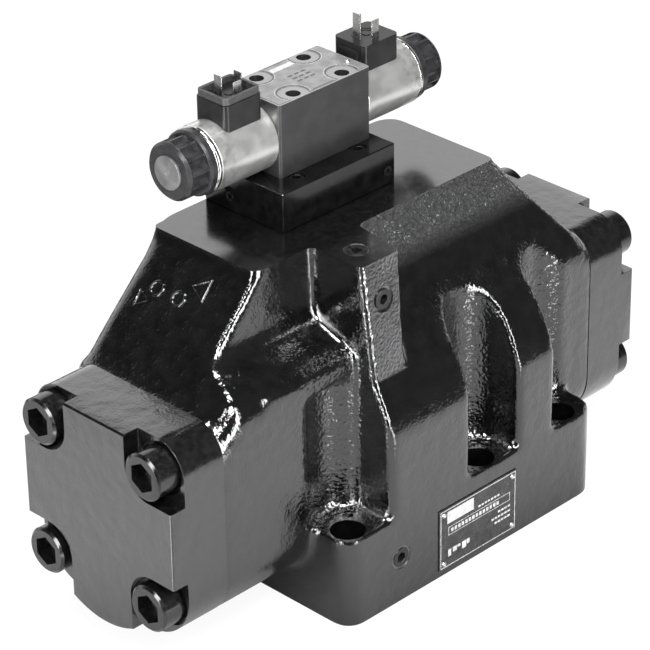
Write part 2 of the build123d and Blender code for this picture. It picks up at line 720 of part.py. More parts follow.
def socket_screw(head_r, head_h, shank_r, length, key):
    """Hexagon socket screw along Z, with the underside of its head at Z = 0."""
    head = Pos(0, 0, head_h / 2) * Cylinder(head_r, head_h)
    head = chamfer(head.edges().sort_by(Axis.Z)[-1], head_r * HEAD_CHAMFER_SHARE)
    shank = Pos(0, 0, -length / 2) * Cylinder(shank_r, length)
    floor = Plane.XY.offset(head_h * (1 - SOCKET_SHARE))
    socket = extrude(floor * RegularPolygon(key / 2, 6, False), head_h)
    return head + shank - socket


def screw_at(screw, point, outward):
    """A screw set at a point with its head facing outward."""
    return Plane(origin=point, z_dir=outward).location * screw


def cover_screws(side):
    """Four cover screws of one side."""
    seat = neck_x(side) + side * (COVER_T - COVER_SEAT_DEPTH)
    length = COVER_T - COVER_SEAT_DEPTH + M20_GRIP
    screw = socket_screw(M20_HEAD_R, M20_HEAD_H, M20_R - 0.1, length, M20_KEY)
    places = [(seat, sy * COVER_SCREW, BORE_Z + sz * COVER_SCREW) for sy in (-1, 1) for sz in (-1, 1)]
    return [screw_at(screw, p, (side, 0, 0)) for p in places]


def land(x, half, radius):
    """One land of the main spool."""
    return rod((x - half, 0, BORE_Z), (x + half, 0, BORE_Z), radius)


def metering_notches(x, radius):
    """Ring of notches in the edge of a land, which meter the flow."""
    cuts = []
    for i in range(NOTCHES):
        a = 2 * pi * i / NOTCHES
        y, z = radius * cos(a), BORE_Z + radius * sin(a)
        cuts.append(Pos(x, y, z) * Sphere(NOTCH_R))
    return cuts


def main_spool():
    """Main spool with two control lands and two end lands."""
    r = MAIN_BORE_R - RUNNING_GAP
    solid = rod((VALVE_X - SPOOL_END, 0, BORE_Z), (VALVE_X + SPOOL_END, 0, BORE_Z), SPOOL_CORE_R)
    for side in (-1, 1):
        control = PORTS["b" if side < 0 else "a"][0]
        solid += land(control, LAND_HALF, r)
        middle = VALVE_X + side * (END_LAND_START + END_LAND_END) / 2
        solid += land(middle, (END_LAND_END - END_LAND_START) / 2, r)
        tail = VALVE_X + side * END_LAND_END
        solid += rod((tail, 0, BORE_Z), (VALVE_X + side * SPOOL_END, 0, BORE_Z), SPOOL_TAIL_R)
        for edge in (-1, 1):
            for cut in metering_notches(control + edge * LAND_HALF, r):
                solid -= cut
        centre = VALVE_X + side * SPOOL_END
        solid -= rod((centre - side * SPIGOT_HOLE, 0, BORE_Z), (centre + side, 0, BORE_Z), SPIGOT_R)
    return solid


def spring_plate(side):
    """Plate between the end of the main spool and its spring."""
    start = VALVE_X + side * SPOOL_END
    disc = rod((start, 0, BORE_Z), (start + side * PLATE_T, 0, BORE_Z), PLATE_R)
    spigot = rod((start - side * SPIGOT_L, 0, BORE_Z), (start, 0, BORE_Z), SPIGOT_R - FIT_GAP)
    boss_end = start + side * (PLATE_T + PLATE_BOSS_L)
    boss = rod((start + side * PLATE_T, 0, BORE_Z), (boss_end, 0, BORE_Z), PLATE_BOSS_R)
    return disc + spigot + boss


def coil_spring(start, end, coil_r, wire_r, turns, y, z):
    """Helical spring along X between two planes, its helix drawn in short straight runs."""
    low, high = sorted((start, end))
    first = low + wire_r + SPRING_SEAT_GAP
    span = high - wire_r - SPRING_SEAT_GAP - first
    points = []
    for i in range(turns * POINTS_PER_TURN + 1):
        angle = 2 * pi * i / POINTS_PER_TURN
        along = first + span * i / (turns * POINTS_PER_TURN)
        points.append((along, y + coil_r * cos(angle), z + coil_r * sin(angle)))
    path = Polyline(*points)
    section = Plane(origin=path @ 0, z_dir=path % 0) * RegularPolygon(wire_r, WIRE_SIDES)
    return sweep(section, path=path, transition=Transition.RIGHT)


def main_spring(side):
    """Centring spring of the main spool, from its plate to the cover."""
    start = VALVE_X + side * (SPOOL_END + PLATE_T)
    end = neck_x(side) + side * CHAMBER_DEPTH
    return coil_spring(start, end, MAIN_COIL_R, MAIN_WIRE_R, MAIN_COIL_TURNS, 0, BORE_Z)


def seal_ring(x, y, z, height, outer, width=MAIN_SEAL_W):
    """Flat-sided sealing ring lying at a height."""
    return ring((x, y, z), (x, y, z + height), outer, outer - width)


def port_seals():
    """Seals round every port of the mounting face, just clear of it."""
    height = SEAL_RECESS - 2 * SEAL_SUNK
    large, small = PORT_SEAL_R - FIT_GAP, PILOT_PORT_SEAL_R - FIT_GAP
    seals = [seal_ring(x, y, SEAL_SUNK, height, large) for x, y in PORTS.values()]
    for x, y in PILOT_PORTS.values():
        seals.append(seal_ring(x, y, SEAL_SUNK, height, small, SMALL_SEAL_W))
    return seals


def pilot_passage_seals(z):
    """Four small seals round the pilot passages, in pockets above a face."""
    places = [(VALVE_X + dx, PILOT_Y + dy) for dx, dy in PILOT_PASSAGES]
    return [seal_ring(x, y, z, PILOT_SEAL_T, PILOT_SEAL_R - FIT_GAP, PILOT_SEAL_W) for x, y in places]


def pilot_seal_pockets(z):
    """Pockets for the small seals in the underside of a plate or housing."""
    places = [(VALVE_X + dx, PILOT_Y + dy) for dx, dy in PILOT_PASSAGES]
    return [rod((x, y, z - 1), (x, y, z + PILOT_SEAL_T + FIT_GAP), PILOT_SEAL_R) for x, y in places]


def adapter_passages():
    """Passages through the adapter, and the cross drillings that its plugs close."""
    cuts = []
    for dx, dy in PILOT_PASSAGES:
        x, y = VALVE_X + dx, PILOT_Y + dy
        cuts.append(rod((x, y, TOP_Z - 1), (x, y, PILOT_BASE_Z + 1), PILOT_PASSAGE_R))
    z = TOP_Z + ADAPTER_PLUG_UP
    pressure, drain = [(VALVE_X + dx, PILOT_Y + dy, z) for dx, dy in PILOT_PASSAGES[:2]]
    left, front = [place[0] for place in adapter_plug_places()]
    cuts.append(rod(left, pressure, ADAPTER_DRILL_R))
    cuts.append(rod(front, (front[0], drain[1], z), ADAPTER_DRILL_R))
    cuts.append(rod((front[0], drain[1], z), drain, ADAPTER_DRILL_R))
    riser = (TOWER_DRILL_X, TOWER_RISER_Y, TOP_Z - 1)
    cuts.append(rod(riser, (riser[0], riser[1], z), DRILL_R))
    cuts.append(rod((riser[0], riser[1], z), drain, ADAPTER_DRILL_R))
    return cuts


def adapter_block():
    """Plate that carries the pilot valve on the casting."""
    solid = block(ADAPTER_X0, ADAPTER_X1, ADAPTER_Y0, ADAPTER_Y1, TOP_Z, PILOT_BASE_Z)
    solid = chamfer(solid.edges(), ADAPTER_CHAMFER)
    for cut in adapter_passages() + pilot_seal_pockets(TOP_Z):
        solid -= cut
    seat, head_r = PILOT_BASE_Z - M6_HEAD_H - M6_HEAD_SUNK, M6_HEAD_R + M6_HEAD_CLEARANCE
    for x, y in ADAPTER_SCREWS:
        solid -= rod((x, y, TOP_Z - 1), (x, y, PILOT_BASE_Z + 1), M6_R + M6_CLEARANCE)
        solid -= rod((x, y, seat), (x, y, PILOT_BASE_Z + 1), head_r)
    for dx, dy in PILOT_SCREWS:
        x, y = VALVE_X + dx, PILOT_Y + dy
        solid -= rod((x, y, PILOT_BASE_Z - M5_TAP), (x, y, PILOT_BASE_Z + 1), M5_R)
    for start, direction in adapter_plug_places():
        end = tuple(s + d * ADAPTER_PLUG_T for s, d in zip(start, direction))
        solid -= rod(start, end, ADAPTER_PLUG_R)
    return solid


def adapter_plug_places():
    """Mouth and inward direction of each plug in the adapter."""
    z = TOP_Z + ADAPTER_PLUG_UP
    left = (ADAPTER_X0, ADAPTER_PLUG_Y, z)
    front = (ADAPTER_X1 - ADAPTER_PLUG_INSET, ADAPTER_Y0, z)
    return [(left, (1, 0, 0)), (front, (0, 1, 0))]


def plug(mouth, inward, radius, length, key):
    """Flush screw plug with a hexagon socket."""
    plane = Plane(origin=mouth, z_dir=inward)
    body = extrude(plane * Circle(radius), length)
    socket = extrude(plane * RegularPolygon(key / 2, 6, False), length * SOCKET_SHARE)
    return body - socket


def adapter_plugs():
    """Two plugs that close the adapter's cross drillings."""
    r, length = ADAPTER_PLUG_R - SMALL_GAP, ADAPTER_PLUG_T - PLUG_SUNK
    return [plug(m, d, r, length, ADAPTER_PLUG_KEY) for m, d in adapter_plug_places()]


def adapter_screws():
    """Screws that hold the adapter on the casting, with sunk heads."""
    length = ADAPTER_T - M6_HEAD_H + M6_GRIP
    screw = socket_screw(M6_HEAD_R, M6_HEAD_H, M6_R - SMALL_GAP, length, M6_KEY)
    z = PILOT_BASE_Z - M6_HEAD_H - M6_HEAD_SUNK
    return [Pos(x, y, z) * screw for x, y in ADAPTER_SCREWS]


def pilot_gallery(x, half, radius):
    """Ring-shaped oil chamber round the pilot bore."""
    return rod(on_axis(VALVE_X + x - half), on_axis(VALVE_X + x + half), radius)


def pilot_ports_x():
    """Places of the pressure gallery and both consumer galleries along the pilot bore."""
    return [PILOT_PASSAGES[i][0] for i in (0, 2, 3)]


def pilot_galleries():
    """Galleries of the pilot bore and the passages that reach them from below."""
    cuts = [pilot_gallery(x, PILOT_GALLERY_HALF, PILOT_GALLERY_R) for x in pilot_ports_x()]
    low, high = PILOT_CENTRE - PILOT_TANK_SPREAD, PILOT_CENTRE + PILOT_TANK_SPREAD
    cuts += [pilot_gallery(x, PILOT_TANK_HALF, PILOT_TANK_R) for x in (low, high)]
    y, z = PILOT_Y + PILOT_CHANNEL[0], PILOT_AXIS_Z + PILOT_CHANNEL[1]
    cuts.append(rod((VALVE_X + low, y, z), (VALVE_X + high, y, z), PILOT_CHANNEL_R))
    for dx, dy in PILOT_PASSAGES:
        x, y = VALVE_X + dx, PILOT_Y + dy
        top = PILOT_AXIS_Z + (PILOT_CHANNEL[1] if dy < 0 else -PILOT_PASSAGE_DROP)
        cuts.append(rod((x, y, PILOT_BASE_Z - 1), (x, y, top), PILOT_PASSAGE_R))
    return cuts


def pilot_body():
    """Housing of the pilot valve."""
    cx, top = VALVE_X, PILOT_BASE_Z + PILOT_H - LABEL_T
    solid = block(cx - PILOT_HALF_X, cx + PILOT_HALF_X, PILOT_Y - PILOT_HALF_Y,
                  PILOT_Y + PILOT_HALF_Y, PILOT_BASE_Z, top)
    solid = fillet(solid.edges().filter_by(Axis.Z), PILOT_EDGE_R)
    reach = PILOT_HALF_X + OVERCUT
    solid -= rod(on_axis(cx - reach), on_axis(cx + reach), PILOT_BORE_R)
    for side in (-1, 1):
        face = cx + side * PILOT_HALF_X
        pocket = face - side * PILOT_SPRING_POCKET
        solid -= rod(on_axis(pocket), on_axis(face + side * OVERCUT), TUBE_R + FIT_GAP)
    for cut in pilot_galleries() + pilot_seal_pockets(PILOT_BASE_Z):
        solid -= cut
    for dx, dy in PILOT_SCREWS:
        x, y = cx + dx, PILOT_Y + dy
        solid -= rod((x, y, PILOT_BASE_Z - 1), (x, y, top + 1), M5_R + M5_CLEARANCE)
        solid -= rod((x, y, PILOT_BASE_Z + M5_HEAD_TOP - M5_HEAD_H), (x, y, top + 1), M5_HOLE_R)
    return solid


def pilot_screws():
    """Screws that hold the pilot valve, deep in their counterbores."""
    length = M5_HEAD_TOP - M5_HEAD_H + M5_GRIP
    screw = socket_screw(M5_HEAD_R, M5_HEAD_H, M5_R - SMALL_GAP, length, M5_KEY)
    z = PILOT_BASE_Z + M5_HEAD_TOP - M5_HEAD_H
    return [Pos(VALVE_X + dx, PILOT_Y + dy, z) * screw for dx, dy in PILOT_SCREWS]


def pilot_label():
    """Thin label on the pilot valve, scalloped round its screws."""
    top = PILOT_BASE_Z + PILOT_H
    hx, hy = PILOT_HALF_X - LABEL_INSET, PILOT_HALF_Y - LABEL_INSET
    solid = block(VALVE_X - hx, VALVE_X + hx, PILOT_Y - hy, PILOT_Y + hy, top - LABEL_T, top)
    for dx, dy in PILOT_SCREWS:
        x, y = VALVE_X + dx, PILOT_Y + dy
        solid -= rod((x, y, top - 1), (x, y, top + 1), LABEL_SCALLOP_R)
    return solid


def label_rivets():
    """Two rivets of the pilot's label."""
    top = PILOT_BASE_Z + PILOT_H
    places = [(VALVE_X + dx, PILOT_Y + dy) for dx, dy in LABEL_RIVETS]
    return [rod((x, y, top), (x, y, top + LABEL_RIVET_HEAD), RIVET_R) for x, y in places]


def pilot_spool():
    """Spool of the pilot valve."""
    r = PILOT_BORE_R - PILOT_GAP
    x0, x1 = VALVE_X - PILOT_SPOOL_HALF, VALVE_X + PILOT_SPOOL_HALF
    solid = rod((x0, PILOT_Y, PILOT_AXIS_Z), (x1, PILOT_Y, PILOT_AXIS_Z), r)
    a, b = PILOT_PASSAGES[2][0], PILOT_PASSAGES[3][0]
    outer = PILOT_TANK_SPREAD + PILOT_TANK_HALF
    grooves = [
        (PILOT_CENTRE - outer, a - PILOT_LAND_HALF), (a + PILOT_LAND_HALF, b - PILOT_LAND_HALF),
        (b + PILOT_LAND_HALF, PILOT_CENTRE + outer)]
    for low, high in grooves:
        solid -= ring(on_axis(VALVE_X + low), on_axis(VALVE_X + high), r + 1, PILOT_CORE_R)
    return solid


def pilot_x(side, outward):
    """X at a distance outward from the pilot's end face."""
    return VALVE_X + side * (PILOT_HALF_X + outward)


def on_axis(x):
    """Point on the solenoid axis."""
    return (x, PILOT_Y, PILOT_AXIS_Z)


def pilot_spring_washer(side):
    """Washer between the pilot spool and its spring."""
    start = VALVE_X + side * PILOT_SPOOL_HALF
    return ring(on_axis(start), on_axis(start + side * WASHER_T), WASHER_R, PUSH_PIN_R + 0.5)


def pilot_spring(side):
    """Centring spring of the pilot spool."""
    start = VALVE_X + side * (PILOT_SPOOL_HALF + WASHER_T)
    end = pilot_x(side, -TUBE_SEAT)
    return coil_spring(start, end, PILOT_COIL_R, PILOT_WIRE_R, PILOT_COIL_TURNS,
                       PILOT_Y, PILOT_AXIS_Z)


def pole_tube(side):
    """Pressure tube with its pole piece, screwed into the pilot valve."""
    solid = rod(on_axis(pilot_x(side, -TUBE_SEAT)), on_axis(pilot_x(side, TUBE_OUT)), TUBE_R)
    solid -= rod(on_axis(pilot_x(side, TUBE_BORE_START)), on_axis(pilot_x(side, TUBE_BORE_END)),
                 TUBE_BORE_R)
    solid -= rod(on_axis(pilot_x(side, -TUBE_SEAT - 1)), on_axis(pilot_x(side, TUBE_BORE_START)),
                 PUSH_PIN_R + 0.05)
    solid -= rod(on_axis(pilot_x(side, TUBE_BORE_END)), on_axis(pilot_x(side, TUBE_OUT + 1)),
                 OVERRIDE_R + 0.05)
    return solid


def armature(side):
    """Moving iron core of one solenoid."""
    start = pilot_x(side, ARMATURE_START)
    end = pilot_x(side, ARMATURE_START + ARMATURE_L)
    return rod(on_axis(start), on_axis(end), ARMATURE_R)


def push_pin(side):
    """Pin from the armature to the pilot spool."""
    return rod(on_axis(VALVE_X + side * PILOT_SPOOL_HALF), on_axis(pilot_x(side, ARMATURE_START)),
               PUSH_PIN_R)


def override_pin(side):
    """Manual override pin in the end of the tube."""
    inner = pilot_x(side, TUBE_BORE_END - OVERRIDE_COLLAR_T)
    outer = pilot_x(side, TUBE_OUT - OVERRIDE_SUNK)
    collar = rod(on_axis(inner), on_axis(pilot_x(side, TUBE_BORE_END)), OVERRIDE_COLLAR_R)
    return collar + rod(on_axis(inner), on_axis(outer), OVERRIDE_R)


def coil_case(side):
    """Steel case of one coil, with its front end plate."""
    start, end = pilot_x(side, 0), pilot_x(side, CASE_L - END_RING_T)
    solid = rod(on_axis(start), on_axis(end), CASE_R)
    solid -= rod(on_axis(pilot_x(side, CASE_WALL)), on_axis(pilot_x(side, CASE_L)),
                 CASE_R - CASE_WALL)
    return solid - rod(on_axis(pilot_x(side, -1)), on_axis(end), TUBE_R + FIT_GAP)


def coil_winding(side):
    """Moulded winding inside the case."""
    start, end = pilot_x(side, CASE_WALL), pilot_x(side, CASE_L - END_RING_T)
    return ring(on_axis(start), on_axis(end), CASE_R - CASE_WALL, TUBE_R + FIT_GAP)


def coil_end_ring(side):
    """Bright ring that closes the coil's case at the nut."""
    start, end = pilot_x(side, CASE_L - END_RING_T), pilot_x(side, CASE_L)
    solid = ring(on_axis(start), on_axis(end), CASE_R, TUBE_R + FIT_GAP)
    rims = solid.edges().filter_by(GeomType.CIRCLE).sort_by(lambda e: side * e.center().X)
    rim = max(rims[-2:], key=lambda e: e.radius)
    return chamfer(rim, END_RING_CHAMFER)


def coil_nut(side):
    """Fluted plastic nut that clamps the coil on the tube."""
    start, end = pilot_x(side, CASE_L), pilot_x(side, CASE_L + NUT_L)
    flange_end = pilot_x(side, CASE_L + NUT_FLANGE_T)
    body = rod(on_axis(start), on_axis(end), NUT_R)
    body = chamfer(body.edges().sort_by(Axis.X)[-1 if side > 0 else 0], NUT_FACE_CHAMFER)
    for i in range(NUT_FLUTES):
        angle = 2 * pi * (i + 0.25) / NUT_FLUTES
        y = PILOT_Y + NUT_FLUTE_AT * cos(angle)
        z = PILOT_AXIS_Z + NUT_FLUTE_AT * sin(angle)
        body -= rod((start, y, z), (end - side * NUT_FLUTE_STOP, y, z), NUT_FLUTE_R)
    flange = rod(on_axis(start), on_axis(flange_end), NUT_FLANGE_R)
    flange = chamfer(flange.edges().sort_by(Axis.X)[-1 if side > 0 else 0], NUT_FLANGE_CHAMFER)
    bore = rod(on_axis(start - side), on_axis(end + side), TUBE_R + FIT_GAP)
    return body + flange - bore


def connector_base(side):
    """Moulded connector base on top of a coil, with a rib on the pilot valve's side."""
    x = pilot_x(side, CONNECTOR_X)
    top, low = PILOT_AXIS_Z + CONNECTOR_TOP, PILOT_AXIS_Z + CONNECTOR_LOW
    hx, hy = CONNECTOR_LX / 2, CONNECTOR_LY / 2
    solid = block(x - hx, x + hx, PILOT_Y - hy, PILOT_Y + hy, low, top)
    solid = fillet(solid.edges().filter_by(Axis.Z), CONNECTOR_R)
    rib_y = hy - CONNECTOR_R - CONNECTOR_RIB_INSET
    rib_x = sorted((x, x - side * (hx + CONNECTOR_RIB)))
    solid += block(*rib_x, PILOT_Y - rib_y, PILOT_Y + rib_y, low, top - CONNECTOR_RIB_DROP)
    solid -= rod(on_axis(x - CONNECTOR_LX), on_axis(x + CONNECTOR_LX), CASE_R)
    for slot in blade_boxes(side, 0):
        solid -= slot
    return solid


def blade_boxes(side, share):
    """Box of each blade from its seat in the base up to a share of its height."""
    letter = "a" if side < 0 else "b"
    x = pilot_x(side, CONNECTOR_X)
    top = PILOT_AXIS_Z + CONNECTOR_TOP
    boxes = []
    for dx, dy, height in BLADES[letter]:
        boxes.append(blade_slot(x + dx * BLADE_SPREAD, PILOT_Y + dy * EARTH_SPREAD, dx == 0, top,
                                share * height))
    return boxes


def blade_slot(x, y, along, top, rise):
    """Box of one blade, from its seat in the base up to a height above the base."""
    hx, hy = (BLADE_W / 2, BLADE_T / 2) if along else (BLADE_T / 2, BLADE_W / 2)
    return block(x - hx, x + hx, y - hy, y + hy, top - BLADE_SINK, top + rise)


def contact_blades(side):
    """Three tinned contact blades standing in the base."""
    return blade_boxes(side, 1)


def connector_gasket(side):
    """Rubber frame that stands on the rim of the connector base."""
    x = pilot_x(side, CONNECTOR_X)
    z0 = PILOT_AXIS_Z + CONNECTOR_TOP
    hx, hy = CONNECTOR_LX / 2 - GASKET_INSET, CONNECTOR_LY / 2 - GASKET_INSET
    outer = block(x - hx, x + hx, PILOT_Y - hy, PILOT_Y + hy, z0, z0 + GASKET_H)
    outer = fillet(outer.edges().filter_by(Axis.Z), CONNECTOR_R)
    hx, hy = hx - GASKET_WALL, hy - GASKET_WALL
    return outer - block(x - hx, x + hx, PILOT_Y - hy, PILOT_Y + hy, z0, z0 + 2 * GASKET_H)


def large_plug(mouth, inward):
    """Plug of the size that closes the casting's drillings."""
    return plug(mouth, inward, PLUG_R - SMALL_GAP, PLUG_T - PLUG_SUNK, PLUG_KEY)


def tower_top_plug():
    """Plug in the top of the tower."""
    return large_plug((TOWER_DRILL_X, TOWER_DRILL_Y, TOP_Z), (0, 0, -1))


def tower_front_plug():
    """Plug in the front of the tower."""
    return large_plug((TOWER_DRILL_X, TOWER_Y - PLUG_IN, TOWER_PLUG_Z), (0, 1, 0))


def base_plug():
    """Plug in the front of the base."""
    return large_plug((BASE_PLUG_X, -BASE_Y, BASE_PLUG_Z), (0, 1, 0))


def nameplate():
    """Metal plate on the front of the base."""
    hx, hz = NAMEPLATE_LX / 2, NAMEPLATE_LZ / 2
    return block(NAMEPLATE_X - hx, NAMEPLATE_X + hx, -BASE_Y - NAMEPLATE_T, -BASE_Y,
                 NAMEPLATE_Z - hz, NAMEPLATE_Z + hz)


def nameplate_rivets():
    """Four rivets of the nameplate."""
    rivets = []
    for sx in (-1, 1):
        for sz in (-1, 1):
            x = NAMEPLATE_X + sx * (NAMEPLATE_LX / 2 - RIVET_INSET)
            z = NAMEPLATE_Z + sz * (NAMEPLATE_LZ / 2 - RIVET_INSET)
            y = -BASE_Y - NAMEPLATE_T
            rivets.append(rod((x, y, z), (x, y - RIVET_HEAD, z), RIVET_R))
    return rivets


def all_nodes():
    """Every node's name with its solid or solids."""
    nodes = {
        "main_body": main_body(), "port_seals": port_seals(), "main_spool": main_spool(),
        "adapter_block": adapter_block(), "adapter_screws": adapter_screws(),
        "adapter_plugs": adapter_plugs(), "adapter_seals": pilot_passage_seals(TOP_Z),
        "pilot_seals": pilot_passage_seals(PILOT_BASE_Z), "pilot_body": pilot_body(),
        "pilot_screws": pilot_screws(), "pilot_label": pilot_label(),
        "pilot_label_rivets": label_rivets(), "pilot_spool": pilot_spool(),
        "connector_gasket_a": connector_gasket(-1), "tower_top_plug": tower_top_plug(),
        "tower_front_plug": tower_front_plug(), "base_plug": base_plug(),
        "nameplate": nameplate(), "nameplate_rivets": nameplate_rivets(),
    }
    both = {
        "end_cover": end_cover, "cover_screws": cover_screws, "cover_seal": cover_seal,
        "spring_plate": spring_plate, "main_spring": main_spring,
        "pilot_spring_washer": pilot_spring_washer, "pilot_spring": pilot_spring,
        "pole_tube": pole_tube, "armature": armature, "push_pin": push_pin,
        "override_pin": override_pin, "coil_case": coil_case, "coil_winding": coil_winding,
        "coil_end_ring": coil_end_ring, "coil_nut": coil_nut, "connector_base": connector_base,
        "contact_blades": contact_blades,
    }
    for name, make in both.items():
        for letter, side in SIDES.items():
            nodes[f"{name}_{letter}"] = make(side)
    return nodes


def main():
    os.makedirs("parts", exist_ok=True)
    for name, made in all_nodes().items():
        shape = Compound(children=made) if isinstance(made, list) else made
        export_step(shape, f"parts/{name}.step")


main()
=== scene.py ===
"""Looks of the pilot-operated proportional directional valve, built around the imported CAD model.

Lengths in the tables are millimetres in the part's frame, and MM turns them into metres. Those of the
studio are metres.
"""

import json
import math

import bmesh
import bpy
from mathutils import Matrix, Vector

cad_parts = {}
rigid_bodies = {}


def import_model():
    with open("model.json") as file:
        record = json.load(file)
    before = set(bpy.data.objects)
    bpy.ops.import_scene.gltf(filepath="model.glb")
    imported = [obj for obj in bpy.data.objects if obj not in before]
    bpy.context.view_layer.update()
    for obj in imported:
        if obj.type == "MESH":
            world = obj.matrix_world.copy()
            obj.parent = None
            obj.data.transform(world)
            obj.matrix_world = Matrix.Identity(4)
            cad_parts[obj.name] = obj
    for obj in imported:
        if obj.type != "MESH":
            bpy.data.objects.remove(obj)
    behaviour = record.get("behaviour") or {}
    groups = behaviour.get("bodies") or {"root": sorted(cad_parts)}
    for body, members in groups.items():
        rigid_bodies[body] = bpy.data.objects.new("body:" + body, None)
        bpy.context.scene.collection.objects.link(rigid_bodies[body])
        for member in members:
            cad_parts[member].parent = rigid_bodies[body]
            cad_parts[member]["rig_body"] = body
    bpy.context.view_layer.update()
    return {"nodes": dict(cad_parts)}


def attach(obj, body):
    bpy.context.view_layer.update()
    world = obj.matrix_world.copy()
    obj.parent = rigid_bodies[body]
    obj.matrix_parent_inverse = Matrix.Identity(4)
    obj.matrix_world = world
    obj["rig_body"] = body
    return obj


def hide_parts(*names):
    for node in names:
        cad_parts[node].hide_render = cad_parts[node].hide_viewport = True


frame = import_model()
nodes = frame["nodes"]
MM = 0.001


# Camera, at the photograph's place

CAMERA_AT = (-1261.408, -1233.320, 1121.348)
CAMERA_RIGHT = (0.7031020, -0.7109623, -0.0134228)
CAMERA_DOWN = (-0.3562302, -0.3358294, -0.8719625)
CAMERA_FORWARD = (0.6154247, 0.6178602, -0.4893886)
LENS = 180.16
SENSOR = 36.0


def make_camera():
    data = bpy.data.cameras.new("camera")
    data.sensor_width = SENSOR
    data.lens = LENS
    data.clip_start, data.clip_end = 0.05, 50
    camera = bpy.data.objects.new("camera", data)
    bpy.context.scene.collection.objects.link(camera)
    columns = [Vector(CAMERA_RIGHT), -Vector(CAMERA_DOWN), -Vector(CAMERA_FORWARD)]
    matrix = Matrix([[c[row] for c in columns] for row in range(3)]).to_4x4()
    matrix.translation = Vector(CAMERA_AT) * MM
    camera.matrix_world = matrix
    bpy.context.scene.camera = camera


# Mesh helpers

TURN = {
    "z": Matrix.Identity(4), "x": Matrix.Rotation(math.pi / 2, 4, "Y"),
    "y": Matrix.Rotation(-math.pi / 2, 4, "X")}


def new_object(name, mesh):
    piece = bpy.data.objects.new(name, mesh)
    bpy.context.scene.collection.objects.link(piece)
    return piece


def from_bmesh(name, bm):
    mesh = bpy.data.meshes.new(name)
    bm.to_mesh(mesh)
    bm.free()
    return new_object(name, mesh)


def baked(piece):
    """The piece with its modifiers applied to its mesh."""
    graph = bpy.context.evaluated_depsgraph_get()
    mesh = bpy.data.meshes.new_from_object(piece.evaluated_get(graph))
    piece.modifiers.clear()
    piece.data = mesh
    return piece


def add_block(bm, low, high):
    low, high = Vector(low) * MM, Vector(high) * MM
    size = Matrix.Diagonal((*(high - low), 1))
    place = Matrix.Translation((low + high) / 2)
    return bmesh.ops.create_cube(bm, size=1, matrix=place @ size)["verts"]


def add_rod(bm, centre, radius, low, high, axis="z", segments=48, far_radius=None):
    """A cylinder or cone along an axis from low to high; the centre's own coordinate on it is left out."""
    place = Vector(centre) * MM
    place["xyz".index(axis)] = (low + high) / 2 * MM
    far = radius if far_radius is None else far_radius
    matrix = Matrix.Translation(place) @ TURN[axis]
    made = bmesh.ops.create_cone(
        bm, cap_ends=True, segments=segments, radius1=radius * MM, radius2=far * MM,
        depth=(high - low) * MM, matrix=matrix)
    return made["verts"]


def add_prism(bm, outline, axis, low, high):
    """A solid of an outline, given in the two other axes in order, from low to high along an axis."""
    index = "xyz".index(axis)

    def place(point, along):
        values = list(point)
        values.insert(index, along)
        return Vector(values) * MM

    rims = [[bm.verts.new(place(p, along)) for p in outline] for along in (low, high)]
    faces = [bm.faces.new(rims[0]), bm.faces.new(rims[1])]
    for i in range(len(outline)):
        j = (i + 1) % len(outline)
        faces.append(bm.faces.new((rims[0][i], rims[0][j], rims[1][j], rims[1][i])))
    bmesh.ops.recalc_face_normals(bm, faces=faces)
    return rims[0] + rims[1]


def smooth(piece, angle):
    mesh = piece.data
    mesh.polygons.foreach_set("use_smooth", [True] * len(mesh.polygons))
    mesh.set_sharp_from_angle(angle=math.radians(angle))


def finish_piece(piece, skin, slot, body, *stands_for):
    """Gives a piece its finish, the body it moves with and the CAD nodes that it stands for."""
    if skin is not None:
        piece.data.materials.clear()
        piece.data.materials.append(skin)
    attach(piece, body)
    if stands_for:
        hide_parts(*stands_for)


# Materials

EVEN = (1, 1, 1)
NOISE_SPAN = (0.35, 0.65)


def material(name, metal=0.0, coat=0.0, coat_rough=0.05, level=0.5):
    made = bpy.data.materials.new(name)
    made.use_nodes = True
    shader = made.node_tree.nodes["Principled BSDF"]
    shader.inputs["Metallic"].default_value = metal
    shader.inputs["Coat Weight"].default_value = coat
    shader.inputs["Coat Roughness"].default_value = coat_rough
    shader.inputs["Specular IOR Level"].default_value = level
    return made


def position(tree):
    for node in tree.nodes:
        if node.type == "TEX_COORD":
            return node.outputs["Object"]
    return tree.nodes.new("ShaderNodeTexCoord").outputs["Object"]


def noise_value(tree, size, detail=3, stretch=EVEN):
    """Noise with features about size millimetres across."""
    scaling = tree.nodes.new("ShaderNodeMapping")
    scaling.inputs["Scale"].default_value = stretch
    texture = tree.nodes.new("ShaderNodeTexNoise")
    texture.inputs["Scale"].default_value = 1 / (size * MM)
    texture.inputs["Detail"].default_value = detail
    tree.links.new(position(tree), scaling.inputs["Vector"])
    tree.links.new(scaling.outputs["Vector"], texture.inputs["Vector"])
    return texture.outputs["Fac"]


def ramp(tree, value, low, high, colour_low, colour_high):
    """Colours spread between two values of a noise."""
    node = tree.nodes.new("ShaderNodeValToRGB")
    elements = node.color_ramp.elements
    elements[0].position, elements[1].position = low, high
    elements[0].color, elements[1].color = (*colour_low, 1), (*colour_high, 1)
    tree.links.new(value, node.inputs["Fac"])
    return node.outputs["Color"]


def spread(tree, value, low, high, to_low, to_high):
    node = tree.nodes.new("ShaderNodeMapRange")
    numbers = {"From Min": low, "From Max": high, "To Min": to_low, "To Max": to_high}
    for socket, number in numbers.items():
        node.inputs[socket].default_value = number
    tree.links.new(value, node.inputs["Value"])
    return node.outputs["Result"]


def calculate(tree, operation, *values):
    """One step of arithmetic on sockets or plain numbers."""
    node = tree.nodes.new("ShaderNodeMath")
    node.operation = operation
    for socket, value in zip(node.inputs, values):
        if isinstance(value, (int, float)):
            socket.default_value = value
        else:
            tree.links.new(value, socket)
    return node.outputs["Value"]


